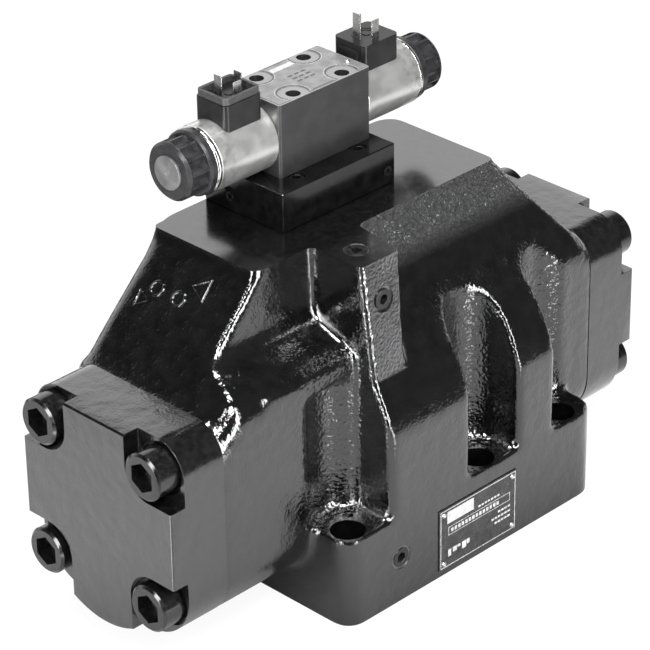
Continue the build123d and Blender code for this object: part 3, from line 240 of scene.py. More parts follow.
def bump(tree, layers):
    """Bumps laid over each other: each layer is (noise value, height in mm)."""
    shader = tree.nodes["Principled BSDF"]
    below = None
    for value, height in layers:
        node = tree.nodes.new("ShaderNodeBump")
        node.inputs["Strength"].default_value = 1
        node.inputs["Distance"].default_value = height * MM
        tree.links.new(value, node.inputs["Height"])
        if below:
            tree.links.new(below, node.inputs["Normal"])
        below = node.outputs["Normal"]
    tree.links.new(below, shader.inputs["Normal"])
    return below


def tint(tree, share, colour):
    """Lays a colour over a shader's own colour, as far as the share goes."""
    base = tree.nodes["Principled BSDF"].inputs["Base Color"]
    mix = tree.nodes.new("ShaderNodeMix")
    mix.data_type = "RGBA"
    tree.links.new(share, mix.inputs["Factor"])
    tree.links.new(base.links[0].from_socket, mix.inputs[6])
    mix.inputs[7].default_value = (*colour, 1)
    tree.links.new(mix.outputs[2], base)


def vary(made, colour, rough, bumps, coat_bumps=False, extra=()):
    """Adds colour and roughness variation and bumps. colour = (size, low colour, high colour),
    rough = (size, low, high), bumps = (size, height, detail, stretch)."""
    tree = made.node_tree
    shader = tree.nodes["Principled BSDF"]
    size, low, high = colour
    shade = ramp(tree, noise_value(tree, size), *NOISE_SPAN, low, high)
    tree.links.new(shade, shader.inputs["Base Color"])
    size, low, high = rough
    gloss = spread(tree, noise_value(tree, size), *NOISE_SPAN, low, high)
    tree.links.new(gloss, shader.inputs["Roughness"])
    layers = []
    for size, height, detail, stretch in bumps:
        layers.append((noise_value(tree, size, detail, stretch), height))
    for add_layer in extra:
        layers.append(add_layer(tree))
    normal = bump(tree, layers)
    if coat_bumps:
        tree.links.new(normal, shader.inputs["Coat Normal"])
    return made


# Finishes that change from place to place, with painted shade under the coils and a painted highlight on
# the pilot valve's top

COARSE_FROM_X = -39.0
COARSE_LOW_Z, COARSE_HIGH_Z = 191.0, 203.0
COARSE_GRAIN = 1.9
COARSE_HEIGHT = 0.9
COARSE_COLOUR = (0.030, 0.030, 0.031)
ROUGH_BAY_IN, ROUGH_BAY_OUT = 25.0, 34.0
ROUGH_BAY_FRONT = 88.0
ROUGH_BAY_LOW, ROUGH_BAY_HIGH = 57.0, 62.0
ROUGH_BAY_GRAIN = 2.4
ROUGH_BAY_HEIGHT = 0.5
MOTTLED_FROM, MOTTLED_FULL = 66.0, 86.0
MOTTLED_GRAIN = 4
MOTTLED_SPAN = (0.45, 0.7)
MOTTLED_COLOUR = (0.42, 0.42, 0.41)
# Painted shade under the coils: the height band where it starts and its darker colour
UNDERSIDE_SHADE_START_Z, UNDERSIDE_SHADE_FULL_Z = 262.0, 246.0
UNDERSIDE_SHADE_COLOUR = (0.3, 0.3, 0.3)
# Painted highlight on the pilot valve's top: the height band where it starts and its lighter colour
TOP_HIGHLIGHT_START_Z, TOP_HIGHLIGHT_FULL_Z = 297.5, 297.7
TOP_HIGHLIGHT_COLOUR = (0.15, 0.15, 0.152)


def split_position(tree):
    split = tree.nodes.new("ShaderNodeSeparateXYZ")
    tree.links.new(position(tree), split.inputs["Vector"])
    return split.outputs


def coarse_patch(tree):
    """Coarse, lighter sand texture high on the casting, from the right edge of the tower's pad on."""
    place = split_position(tree)
    along = spread(tree, place["X"], (COARSE_FROM_X - 2) * MM, COARSE_FROM_X * MM, 0, 1)
    up = spread(tree, place["Z"], COARSE_LOW_Z * MM, COARSE_HIGH_Z * MM, 0, 1)
    share = calculate(tree, "MULTIPLY", along, up)
    grain = noise_value(tree, COARSE_GRAIN, 1)
    uneven = spread(tree, grain, *NOISE_SPAN, 0.5, 1)
    tint(tree, calculate(tree, "MULTIPLY", share, uneven), COARSE_COLOUR)
    return calculate(tree, "MULTIPLY", share, grain), COARSE_HEIGHT


def rough_bays(tree):
    """Rough sand skin in the recesses round the mounting bolts, where no tool reaches."""
    flat = tree.nodes.new("ShaderNodeVectorMath")
    flat.operation = "MULTIPLY"
    flat.inputs[1].default_value = (1, 1, 0)
    tree.links.new(position(tree), flat.inputs[0])
    nearest = 1.0
    for x, y in BOLTS:
        away = tree.nodes.new("ShaderNodeVectorMath")
        away.operation = "DISTANCE"
        away.inputs[1].default_value = (x * MM, y * MM, 0)
        tree.links.new(flat.outputs["Vector"], away.inputs[0])
        nearest = calculate(tree, "MINIMUM", nearest, away.outputs["Value"])
    inside = spread(tree, nearest, ROUGH_BAY_IN * MM, ROUGH_BAY_OUT * MM, 1, 0)
    above = spread(tree, split_position(tree)["Z"], ROUGH_BAY_LOW * MM, ROUGH_BAY_HIGH * MM, 0, 1)
    depth = calculate(tree, "ABSOLUTE", split_position(tree)["Y"])
    behind = spread(tree, depth, ROUGH_BAY_FRONT * MM, (ROUGH_BAY_FRONT + 3) * MM, 1, 0)
    share = calculate(tree, "MULTIPLY", calculate(tree, "MULTIPLY", inside, above), behind)
    return calculate(tree, "MULTIPLY", share, noise_value(tree, ROUGH_BAY_GRAIN, 1)), ROUGH_BAY_HEIGHT


def mottled_end(tree):
    """Darker blotches towards the outer end of a coil."""
    from_middle = calculate(tree, "SUBTRACT", split_position(tree)["X"], VALVE_X * MM)
    out = calculate(tree, "ABSOLUTE", from_middle)
    near_nut = spread(tree, out, MOTTLED_FROM * MM, MOTTLED_FULL * MM, 0, 1)
    blotch = spread(tree, noise_value(tree, MOTTLED_GRAIN, 1), *MOTTLED_SPAN, 0, 1)
    tint(tree, calculate(tree, "MULTIPLY", near_nut, blotch), MOTTLED_COLOUR)


def painted_underside_shade(tree):
    """Painted shade: a coil's colour is darker towards its underside."""
    height = split_position(tree)["Z"]
    tint(tree, spread(tree, height, UNDERSIDE_SHADE_START_Z * MM, UNDERSIDE_SHADE_FULL_Z * MM, 0, 1), UNDERSIDE_SHADE_COLOUR)


def painted_top_highlight(tree):
    """Painted highlight: the pilot valve's top is painted lighter than its sides."""
    height = split_position(tree)["Z"]
    tint(tree, spread(tree, height, TOP_HIGHLIGHT_START_Z * MM, TOP_HIGHLIGHT_FULL_Z * MM, 0, 1), TOP_HIGHLIGHT_COLOUR)


def make_materials():
    made = {}

    def add(name, colour, rough, bumps, coat_bumps=False, extra=(), **plain):
        made[name] = vary(material(name, **plain), colour, rough, bumps, coat_bumps, extra)

    add("cast_paint", colour=(9, (0.0010, 0.0010, 0.0011), (0.0026, 0.0026, 0.0029)),
        rough=(14, 0.08, 0.18), bumps=((9.0, 0.45, 1, EVEN), (1.6, 0.17, 1, EVEN)), coat_bumps=True,
        extra=(coarse_patch, rough_bays), coat=1.0, coat_rough=0.05, level=0.6)
    add("cast_machined", colour=(3, (0.0012, 0.0012, 0.0013), (0.0030, 0.0030, 0.0032)),
        rough=(5, 0.16, 0.24), bumps=((0.9, 0.004, 3, EVEN),), coat=1.0, coat_rough=0.12, level=0.9)
    add("pad_paint", colour=(2, (0.012, 0.012, 0.013), (0.032, 0.032, 0.033)), rough=(4, 0.16, 0.26),
        bumps=((1.9, 0.45, 1, EVEN),), coat_bumps=True, coat=1.0, coat_rough=0.10, level=0.6)
    add("spotface", colour=(4, (0.16, 0.16, 0.16), (0.24, 0.24, 0.24)), rough=(3, 0.26, 0.38),
        bumps=((0.8, 0.004, 2, EVEN),), metal=1)
    add("cover_black", colour=(4, (0.0015, 0.0015, 0.0016), (0.0040, 0.0040, 0.0043)),
        rough=(8, 0.10, 0.20), bumps=((11, 0.35, 1, EVEN), (1.5, 0.09, 1, EVEN)), coat_bumps=True,
        coat=1.0, coat_rough=0.06, level=0.7)
    add("black_oxide", colour=(3, (0.0015, 0.0015, 0.0017), (0.004, 0.004, 0.0043)), rough=(3, 0.14, 0.26),
        bumps=((0.8, 0.006, 2, EVEN),), coat=0.5, coat_rough=0.08)
    add("seal_rubber", colour=(2, (0.02, 0.02, 0.02), (0.032, 0.032, 0.032)), rough=(2, 0.42, 0.55),
        bumps=((0.5, 0.01, 2, EVEN),))
    add("ground_steel", colour=(4, (0.55, 0.55, 0.56), (0.66, 0.66, 0.67)), rough=(3, 0.18, 0.28),
        bumps=((0.4, 0.004, 2, (30, 1, 1)),), metal=1)
    add("spring_steel", colour=(2, (0.26, 0.26, 0.27), (0.38, 0.38, 0.39)), rough=(2, 0.28, 0.4),
        bumps=((0.5, 0.008, 2, EVEN),), metal=1)
    add("adapter_black", colour=(8, (0.0014, 0.0014, 0.0015), (0.0035, 0.0035, 0.0037)),
        rough=(8, 0.14, 0.24), bumps=((6, 0.02, 1, EVEN),), coat_bumps=True,
        coat=0.25, coat_rough=0.12, level=0.4)
    add("plug_black", colour=(2, (0.003, 0.003, 0.0033), (0.008, 0.008, 0.0083)), rough=(2, 0.25, 0.4),
        bumps=((0.6, 0.006, 2, EVEN),))
    add("pilot_grey", colour=(7, (0.012, 0.012, 0.0125), (0.017, 0.017, 0.0175)), rough=(5, 0.32, 0.42),
        bumps=((2.5, 0.008, 1, EVEN), (7, 0.02, 1, EVEN)))
    add("label_grey", colour=(6, (0.13, 0.13, 0.133), (0.18, 0.18, 0.183)), rough=(4, 0.24, 0.34),
        bumps=((1.2, 0.003, 1, EVEN),), metal=0.3)
    # white_print_and_highlight colours printing and the painted highlight arcs on the pilot valve's label;
    # dark_print_and_shade colours printing, the painted shadow arcs there and the painted shade of the
    # connector slots.
    add("white_print_and_highlight", colour=(3, (0.27, 0.27, 0.27), (0.37, 0.37, 0.37)), rough=(3, 0.3, 0.4),
        bumps=((0.5, 0.003, 2, EVEN),))
    add("dark_print_and_shade", colour=(2, (0.02, 0.02, 0.02), (0.035, 0.035, 0.035)), rough=(3, 0.3, 0.4),
        bumps=((0.5, 0.003, 2, EVEN),))
    add("rivet_metal", colour=(2, (0.45, 0.45, 0.46), (0.62, 0.62, 0.63)), rough=(1, 0.25, 0.4),
        bumps=((0.6, 0.01, 2, EVEN),), metal=1)
    add("tube_steel", colour=(9, (0.10, 0.10, 0.10), (0.17, 0.17, 0.17)), rough=(9, 0.28, 0.36),
        bumps=((7, 0.02, 0, EVEN),), metal=0.5)
    add("coil_zinc", colour=(9, (0.66, 0.66, 0.645), (0.74, 0.74, 0.725)), rough=(9, 0.28, 0.34),
        bumps=((14, 0.03, 0, (0.5, 1, 1)),), metal=0.9)
    mottled_end(made["coil_zinc"].node_tree)
    painted_underside_shade(made["coil_zinc"].node_tree)
    painted_top_highlight(made["pilot_grey"].node_tree)
    add("winding_copper", colour=(1, (0.42, 0.2, 0.09), (0.58, 0.3, 0.14)), rough=(1, 0.3, 0.4),
        bumps=((0.4, 0.03, 1, (3, 1, 1)),), metal=1)
    add("coil_ring", colour=(3, (0.66, 0.66, 0.66), (0.78, 0.78, 0.78)), rough=(2, 0.14, 0.24),
        bumps=((0.5, 0.004, 2, EVEN),), metal=1)
    add("nut_plastic", colour=(6, (0.010, 0.010, 0.011), (0.016, 0.016, 0.017)), rough=(6, 0.26, 0.34),
        bumps=((2.5, 0.006, 1, EVEN),))
    add("connector_plastic", colour=(8, (0.006, 0.006, 0.0065), (0.010, 0.010, 0.0105)),
        rough=(8, 0.28, 0.36), bumps=((3, 0.006, 1, EVEN),), level=0.35)
    add("blade_tin", colour=(2, (0.6, 0.6, 0.59), (0.76, 0.76, 0.75)), rough=(3, 0.2, 0.34),
        bumps=((2, 0.004, 1, EVEN),), metal=1)
    add("nameplate_dark", colour=(4, (0.012, 0.012, 0.013), (0.024, 0.024, 0.025)), rough=(3, 0.22, 0.34),
        bumps=((0.4, 0.003, 2, EVEN),))
    return made


# The casting: the CAD body as a sand casting is, soft and skinned, and crisp only where it is machined

VALVE_X = -19.05
BORE_Z = 96.0
NECK_LEFT, NECK_RIGHT = -180.55, 142.45
PLATEAU_Z = 224.0
BASE_Z = 61.0
BASE_FRONT = -93.3
SKIN_GROW = 9.0
SKIN_VOXEL = 2.15
SKIN_SOFTNESS = 10
BOLTS = (
    (-95.25, -79.4), (95.25, -79.4), (-95.25, 79.4), (95.25, 79.4), (19.05, -79.4), (-19.05, 79.4))
BOLT_HOLE_R = 11.0
SPOT_R = 16.5
SPOT_DEPTH = 1.4
SPOT_RING_R = 19.5
MOUTH_R = 12.6
HOLE_CHAMFER = 1.6
PORTS = {"p": (-19.05, -44.4), "t": (53.95, -44.4), "a": (12.75, 44.4), "b": (-52.35, 44.4)}
SMALL_PORTS = ((53.95, 50.8), (-73.05, -34.9))
BORE_R = 24.0
CHAMBER_R = 28.5
CHAMBER_LENGTH = 25.5
GALLERY_R, TANK_GALLERY_R = 30.0, 36.0
TANK_GALLERY_X = 73.0
GALLERY_HALF = 10.0
SEAL_SEAT_DEPTH = 3.2
TOWER_X = -56.0
TOWER_FRONT_Y, TOWER_FOOT_Y, TOWER_FOOT_Z = -69.0, -79.5, 148.0
PAD_LEFT, PAD_RIGHT = -67.6, -38.0
PAD_DEPTH = 0.35
NECK_FILL = (52, 38, 150)
PORT_FILL = ((-90, -60), (75, 60))
DRILLING_FILL = ((-75, -2), (24, 58))
FILL_FLOOR_Z = 212
LIP = (
    (-110.0, PLATEAU_Z + SKIN_GROW - 1), (-116.5, PLATEAU_Z + SKIN_GROW - 1), (-117.0, PLATEAU_Z),
    (-120.5, 215.0), (-125.0, 209.5), (-114.0, 209.5))
LIP_RUN = (-26.0, 60.0)
LEDGE_EDGE = ((-64.0, 148.0), (-64.0, 164.5), (-48.0, 171.6), (-44.0, 160.0))
LEDGE_RUN = (NECK_LEFT + 36, -66.0)
PLUG_TOP = (-56.0, -50.5)
PLUG_FRONT_Z = 199.0
PLUG_BASE = (-63.3, 31.0)
PLUG_R = 6.5


def grow_faces(bm, axis, value, normal):
    """Raises the faces of one machined plane, so that a cut at the plane leaves a crisp edge."""
    near = 0.02 * MM

    def on_plane(face):
        return all(abs(v.co[axis] - value * MM) < near for v in face.verts)

    faces = [f for f in bm.faces if f.normal.dot(Vector(normal)) > 0.999 and on_plane(f)]
    raised = bmesh.ops.extrude_face_region(bm, geom=faces)
    verts = [g for g in raised["geom"] if isinstance(g, bmesh.types.BMVert)]
    bmesh.ops.translate(bm, verts=verts, vec=Vector(normal) * SKIN_GROW * MM)
    bmesh.ops.delete(bm, geom=faces, context="FACES")


def casting_blank():
    """The outside of the CAD body as one soft skin: the mouths of its drillings are closed, and a lip
    on the plateau and a fuller corner along the ledge are added."""
    bm = bmesh.new()
    bm.from_mesh(nodes["main_body"].data)
    bmesh.ops.remove_doubles(bm, verts=bm.verts, dist=1e-6)
    grow_faces(bm, 2, PLATEAU_Z, (0, 0, 1))
    grow_faces(bm, 2, 0, (0, 0, -1))
    grow_faces(bm, 0, NECK_LEFT, (-1, 0, 0))
    grow_faces(bm, 0, NECK_RIGHT, (1, 0, 0))
    grown = SKIN_GROW - 1
    half, low, high = NECK_FILL
    add_block(bm, (NECK_LEFT - grown, -half, low), (NECK_LEFT + 10, half, high))
    add_block(bm, (NECK_RIGHT - 10, -half, low), (NECK_RIGHT + grown, half, high))
    add_block(bm, (*PORT_FILL[0], -grown), (*PORT_FILL[1], SKIN_GROW))
    add_block(bm, (*DRILLING_FILL[0], FILL_FLOOR_Z), (*DRILLING_FILL[1], PLATEAU_Z + grown))
    add_rod(bm, (*PLUG_TOP, 0), PLUG_R + 1.5, FILL_FLOOR_Z, PLATEAU_Z + grown)
    add_rod(bm, (PLUG_BASE[0], 0, PLUG_BASE[1]), PLUG_R + 1, BASE_FRONT, BASE_FRONT + 12, "y")
    add_rod(bm, (TOWER_X, 0, PLUG_FRONT_Z), PLUG_R + 1, TOWER_FRONT_Y - 3.2, TOWER_FRONT_Y + 12, "y")
    for x, y in BOLTS:
        add_rod(bm, (x, y, 0), BOLT_HOLE_R + 1.5, -grown, BASE_Z)
    add_prism(bm, LIP, "y", *LIP_RUN)
    add_prism(bm, LEDGE_EDGE, "x", *LEDGE_RUN)
    piece = from_bmesh("casting_skin", bm)
    remesh = piece.modifiers.new("remesh", "REMESH")
    remesh.mode = "VOXEL"
    remesh.voxel_size = SKIN_VOXEL * MM
    soften = piece.modifiers.new("soften", "SMOOTH")
    soften.factor = 0.5
    soften.iterations = SKIN_SOFTNESS
    return baked(piece)


def cutter(name, bm, skin):
    bmesh.ops.recalc_face_normals(bm, faces=bm.faces)
    tool = from_bmesh(name, bm)
    tool.data.materials.append(skin)
    return tool


def carve(piece, tools):
    """Cuts a row of tools out of a piece; each tool's finish stays on the faces that it leaves."""
    for tool in tools:
        cut = piece.modifiers.new(tool.name, "BOOLEAN")
        cut.operation = "DIFFERENCE"
        cut.solver = "MANIFOLD"
        cut.object = tool
        cut.material_mode = "TRANSFER"
    baked(piece)
    for tool in tools:
        bpy.data.objects.remove(tool)


def plane_cuts(skin):
    """The machined planes: plateau, mounting face and both joint faces."""
    far = 400
    top = bmesh.new()
    add_block(top, (-far, -far, PLATEAU_Z), (far, far, PLATEAU_Z + 40))
    bottom = bmesh.new()
    add_block(bottom, (-far, -far, -40), (far, far, 0))
    left = bmesh.new()
    add_block(left, (NECK_LEFT - 40, -far, -far), (NECK_LEFT, far, far))
    right = bmesh.new()
    add_block(right, (NECK_RIGHT, -far, -far), (NECK_RIGHT + 40, far, far))
    planes = (("top", top), ("bottom", bottom), ("left", left), ("right", right))
    return [cutter(name, bm, skin) for name, bm in planes]


def bore_cuts(skin):
    """Main bore, spring chambers, oil galleries and the ports below them."""
    tools = []

    def tool(name, fill):
        bm = bmesh.new()
        fill(bm)
        tools.append(cutter(name, bm, skin))

    axis = (0, 0, BORE_Z)
    bores = (
        ("bore", BORE_R, NECK_LEFT - 5, NECK_RIGHT + 5),
        ("chamber_a", CHAMBER_R, NECK_LEFT - 5, NECK_LEFT + CHAMBER_LENGTH),
        ("chamber_b", CHAMBER_R, NECK_RIGHT - CHAMBER_LENGTH, NECK_RIGHT + 5))
    for name, radius, low, high in bores:
        tool(name, lambda bm: add_rod(bm, axis, radius, low, high, "x", 72))
    galleries = [("gallery_" + name, PORTS[name][0], GALLERY_R) for name in ("p", "a", "b")]
    galleries.append(("gallery_left", VALVE_X - TANK_GALLERY_X, TANK_GALLERY_R))
    galleries.append(("gallery_right", VALVE_X + TANK_GALLERY_X, TANK_GALLERY_R))
    for name, x, radius in galleries:
        tool(name, lambda bm: add_rod(bm, axis, radius, x - GALLERY_HALF, x + GALLERY_HALF, "x", 64))
    for name, (x, y) in PORTS.items():
        side = 1 if y > 0 else -1
        low, high = sorted((0, y + side * 12))
        tool("run_" + name, lambda bm: add_block(bm, (x - 9.9, low, 62), (x + 9.9, high, 102)))
        tool("port_" + name, lambda bm: add_rod(bm, (x, y, 0), 15, -5, 76))
        tool("seat_" + name, lambda bm: add_rod(bm, (x, y, 0), 20, -5, SEAL_SEAT_DEPTH))
    for i, (x, y) in enumerate(SMALL_PORTS):
        tool(f"small_port_{i}", lambda bm: add_rod(bm, (x, y, 0), 5, -5, 35))
        tool(f"small_seat_{i}", lambda bm: add_rod(bm, (x, y, 0), 8, -5, SEAL_SEAT_DEPTH))
    return tools


def bolt_cuts(paint, spot):
    """Spotfaces and through holes of the mounting bolts."""
    rings = bmesh.new()
    faces = bmesh.new()
    mouths = bmesh.new()
    holes = bmesh.new()
    floor = BASE_Z - SPOT_DEPTH
    for x, y in BOLTS:
        add_rod(rings, (x, y, 0), SPOT_RING_R, BASE_Z - 0.3, BASE_Z + 4, segments=72)
        add_rod(faces, (x, y, 0), SPOT_R, floor, BASE_Z + 4, segments=64)
        add_rod(mouths, (x, y, 0), BOLT_HOLE_R, floor - HOLE_CHAMFER, floor,
                segments=64, far_radius=MOUTH_R)
        add_rod(mouths, (x, y, 0), MOUTH_R, floor, BASE_Z + 4, segments=64)
        add_rod(holes, (x, y, 0), BOLT_HOLE_R, -5, BASE_Z + 4, segments=64)
    bmesh.ops.remove_doubles(mouths, verts=mouths.verts, dist=1e-6)
    return [
        cutter("rings", rings, paint), cutter("faces", faces, paint), cutter("mouths", mouths, spot),
        cutter("holes", holes, paint)]


def tower_front(z, out=0.0):
    """Y of the tower's front at a height."""
    share = (PLATEAU_Z - z) / (PLATEAU_Z - TOWER_FOOT_Z)
    return TOWER_FRONT_Y + share * (TOWER_FOOT_Y - TOWER_FRONT_Y) - out


def plug_cuts(paint, spot, pad):
    """The flat pad on the tower's front, and the seats of the three plugs."""
    low, high = TOWER_FOOT_Z + 2, PLATEAU_Z + 2
    front = bmesh.new()
    profile = [
        (tower_front(low, -PAD_DEPTH), low), (tower_front(high, -PAD_DEPTH), high),
        (-110, high), (-110, low)]
    add_prism(front, profile, "x", PAD_LEFT, PAD_RIGHT)
    rims = bmesh.new()
    add_rod(rims, (*PLUG_TOP, 0), PLUG_R + 1.6, PLATEAU_Z - 0.5, PLATEAU_Z + 3, segments=48)
    rim_y = tower_front(PLUG_FRONT_Z) + 1.5
    add_rod(rims, (TOWER_X, 0, PLUG_FRONT_Z), PLUG_R + 1.6, rim_y - 10, rim_y, "y")
    add_rod(rims, (PLUG_BASE[0], 0, PLUG_BASE[1]), PLUG_R + 1.4, BASE_FRONT - 4, BASE_FRONT + 0.5, "y")
    wells = bmesh.new()
    add_rod(wells, (*PLUG_TOP, 0), PLUG_R, PLATEAU_Z - 9, PLATEAU_Z + 3)
    add_rod(wells, (TOWER_X, 0, PLUG_FRONT_Z), PLUG_R, TOWER_FRONT_Y - 12, TOWER_FRONT_Y + 5.5, "y")
    add_rod(wells, (PLUG_BASE[0], 0, PLUG_BASE[1]), PLUG_R, BASE_FRONT - 4, BASE_FRONT + 9, "y")
    return [cutter("pad", front, pad), cutter("rims", rims, spot), cutter("wells", wells, paint)]


# Cast marks on the left shoulder: two round ones and two triangles, with nothing written in them

SLOPE_NORMAL = Vector((-0.72077, 0, 0.69318))
SLOPE_UP = Vector((0.69318, 0, 0.72077))
ROUND_MARKS = ((-138.1, 34.4, 198.9), (-138.2, 16.0, 198.8))
TRIANGLE_MARKS = ((-144.7, 42.0, 192.1), (-130.6, 3.4, 206.7))
MARK_R = 4.6
MARK_WIRE = 1.0


def mark_matrix(at):
    across = Vector((0, 1, 0))
    matrix = Matrix([[v[row] for v in (across, SLOPE_UP, SLOPE_NORMAL)] for row in range(3)]).to_4x4()
    matrix.translation = Vector(at) * MM
    return matrix


def add_mark(bm, at, sides, radius, turned):
    """One raised rim with a number of sides, turned by some degrees."""
    rim, steps = [], 8
    matrix = mark_matrix(at)
    for i in range(sides):
        angle = 2 * math.pi * i / sides + math.radians(90 + turned)
        centre = Vector((math.cos(angle), math.sin(angle), 0)) * radius
        loop = []
        for j in range(steps):
            turn = 2 * math.pi * j / steps
            out, up = MARK_WIRE * math.cos(turn), MARK_WIRE * math.sin(turn)
            local = centre * (1 + out / radius) + Vector((0, 0, up))
            loop.append(bm.verts.new(matrix @ (local * MM)))
        rim.append(loop)
    for i in range(sides):
        a, b = rim[i], rim[(i + 1) % sides]
        for j in range(steps):
            k = (j + 1) % steps
            bm.faces.new((a[j], b[j], b[k], a[k]))


def add_marks(paint):
    """Raised rims of the cast marks."""
    bm = bmesh.new()
    for at in ROUND_MARKS:
        add_mark(bm, at, 24, MARK_R, 0)
    add_mark(bm, TRIANGLE_MARKS[0], 3, MARK_R * 1.3, -34)
    add_mark(bm, TRIANGLE_MARKS[1], 3, MARK_R * 1.7, 146)
    bmesh.ops.recalc_face_normals(bm, faces=bm.faces)
    marks = from_bmesh("cast_marks", bm)
    smooth(marks, 60)
    finish_piece(marks, paint, "cast_black", "housing")


def make_casting(skin):
    paint, machined, spot = skin["cast_paint"], skin["cast_machined"], skin["spotface"]
    piece = casting_blank()
    piece.data.materials.clear()
    piece.data.materials.append(paint)
    carve(piece, plane_cuts(machined))
    carve(piece, bore_cuts(machined))
    carve(piece, bolt_cuts(paint, spot) + plug_cuts(paint, spot, skin["pad_paint"]))
    smooth(piece, 38)
    finish_piece(piece, None, "cast_black", "housing", "main_body")
    add_marks(paint)


# CAD nodes that keep their form and only get softly broken edges

SOFTENED = {
    "end_cover": 0.7, "cover_screws": 0.5, "adapter_block": 0.5, "pilot_body": 0.5, "coil_case": 0.5,
    "coil_end_ring": 0.3, "coil_nut": 0.45, "connector_base": 0.5, "connector_gasket": 0.4,
    "pole_tube": 0.4, "contact_blades": 0.15, "nameplate": 0.2, "tower_top_plug": 0.3,
    "tower_front_plug": 0.3, "base_plug": 0.3, "adapter_screws": 0.3, "adapter_plugs": 0.2,
    "pilot_screws": 0.3, "pilot_label": 0.12}
SHARP = 28
MILD = 62
MILD_WIDTH = {"end_cover": 3.2}


def plain_name(name):
    """A node's name without its side."""
    return name[:-2] if name[-2:] in ("_a", "_b") else name


def weigh_edges(bm, width, mild_width):
    """Bevel weights: sharp edges get the narrow width, blunt ones the wide one."""
    layer = bm.edges.layers.float.new("bevel_weight_edge")
    wide = max(width, mild_width)
    for edge in bm.edges:
        turn = math.degrees(edge.calc_face_angle(0))
        if turn > MILD:
            edge[layer] = width / wide
        elif turn > SHARP:
            edge[layer] = mild_width / wide
    return wide


def soften_node(name, width, skin):
    bm = bmesh.new()
    bm.from_mesh(nodes[name].data)
    bmesh.ops.remove_doubles(bm, verts=bm.verts, dist=1e-6)
    bmesh.ops.dissolve_limit(bm, angle_limit=math.radians(0.5), verts=bm.verts, edges=bm.edges)
    width = weigh_edges(bm, width, MILD_WIDTH.get(plain_name(name), width))
    piece = from_bmesh(name + "_soft", bm)
    smooth(piece, SHARP)
    edges = piece.modifiers.new("edges", "BEVEL")
    edges.width = width * MM
    edges.segments = 3
    edges.limit_method = "WEIGHT"
    edges.harden_normals = True
    baked(piece)
    finish = FINISH[plain_name(name)]
    finish_piece(piece, skin[finish], finish, nodes[name]["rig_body"], name)


# Finishes of the CAD nodes

FINISH = {
    "end_cover": "cover_black", "cover_screws": "black_oxide", "cover_seal": "seal_rubber",
    "port_seals": "seal_rubber", "adapter_seals": "seal_rubber", "pilot_seals": "seal_rubber",
    "main_spool": "ground_steel", "spring_plate": "ground_steel", "main_spring": "spring_steel",
    "adapter_block": "adapter_black", "adapter_screws": "black_oxide", "adapter_plugs": "plug_black",
    "pilot_screws": "black_oxide", "pilot_body": "pilot_grey", "pilot_label": "label_grey",
    "pilot_label_rivets": "rivet_metal", "pilot_spool": "ground_steel", "pilot_spring": "spring_steel",
    "pilot_spring_washer": "ground_steel", "pole_tube": "tube_steel", "armature": "ground_steel",
    "push_pin": "ground_steel", "override_pin": "ground_steel", "coil_case": "coil_zinc",
    "coil_winding": "winding_copper", "coil_end_ring": "coil_ring", "coil_nut": "nut_plastic",
    "connector_base": "connector_plastic", "connector_gasket": "seal_rubber", "contact_blades": "blade_tin",
    "tower_top_plug": "plug_black", "tower_front_plug": "plug_black", "base_plug": "plug_black",
    "nameplate": "nameplate_dark", "nameplate_rivets": "rivet_metal", "main_body": "cast_paint"}


def finish_nodes(skin):
    for name, node in nodes.items():
        node.data.materials.clear()
        node.data.materials.append(skin[FINISH[plain_name(name)]])
        if plain_name(name) in SOFTENED:
            soften_node(name, SOFTENED[plain_name(name)], skin)


# Printing: a frame and plain bars, without any words; on the pilot valve's label also painted shadow and
# painted highlight arcs

PLATE_MID = (4.9, 26.3)
PLATE_HALF = (35.25, 21.75)
PLATE_Y = -94.1
INK = 0.06


def plate_bar(bm, x0, x1, z0, z1):
    """A printed bar on the nameplate, measured from its middle."""
    add_block(bm, (PLATE_MID[0] + x0, PLATE_Y - INK, PLATE_MID[1] + z0),
              (PLATE_MID[0] + x1, PLATE_Y + 0.02, PLATE_MID[1] + z1))


def plate_box(bm, x0, x1, z0, z1, line):
    """The four lines of a printed box."""
    plate_bar(bm, x0, x1, z1 - line, z1)
    plate_bar(bm, x0, x1, z0, z0 + line)
    plate_bar(bm, x0, x0 + line, z0 + line, z1 - line)
    plate_bar(bm, x1 - line, x1, z0 + line, z1 - line)


def make_nameplate_print(skin):
    bm = bmesh.new()
    wide, tall = PLATE_HALF
    plate_box(bm, 1 - wide, wide - 1, 1 - tall, tall - 1, 0.5)
    plate_bar(bm, 7 - wide, 31 - wide, tall - 11.5, tall - 3)
    plate_box(bm, 8 - wide, wide - 6, 1.5, 7.5, 0.35)
    for i in range(14):
        plate_bar(bm, 10.5 - wide + i * 3.2, 12.6 - wide + i * 3.2, 3.2, 5.8)
    for i in range(7):
        plate_bar(bm, i * 2.9, i * 2.9 + 2.1, 9.4, 10.7)
    for row, count in enumerate((4, 6, 5)):
        for i in range(count):
            x = wide - 8 - i * 3.0
            plate_bar(bm, x, x + 2.2, -3.0 - row * 3.6, -1.6 - row * 3.6)
    for i in range(5):
        plate_bar(bm, 8 - wide + i * 4.2, 10.6 - wide + i * 4.2 + (i % 2), -14 + (i % 3) * 1.6, -9)
    piece = from_bmesh("nameplate_print", bm)
    finish_piece(piece, skin["white_print_and_highlight"], "nameplate_dark", nodes["nameplate"]["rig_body"])


PILOT_MID = (-19.05, 33.0)
LABEL_TOP = 298.3
LABEL_HALF = (36.6, 20.5)
SCALLOPS = ((-20.25, -15.5), (20.25, -16.25), (20.25, 16.25), (-20.25, 15.5))
SCALLOP_R = 9.5


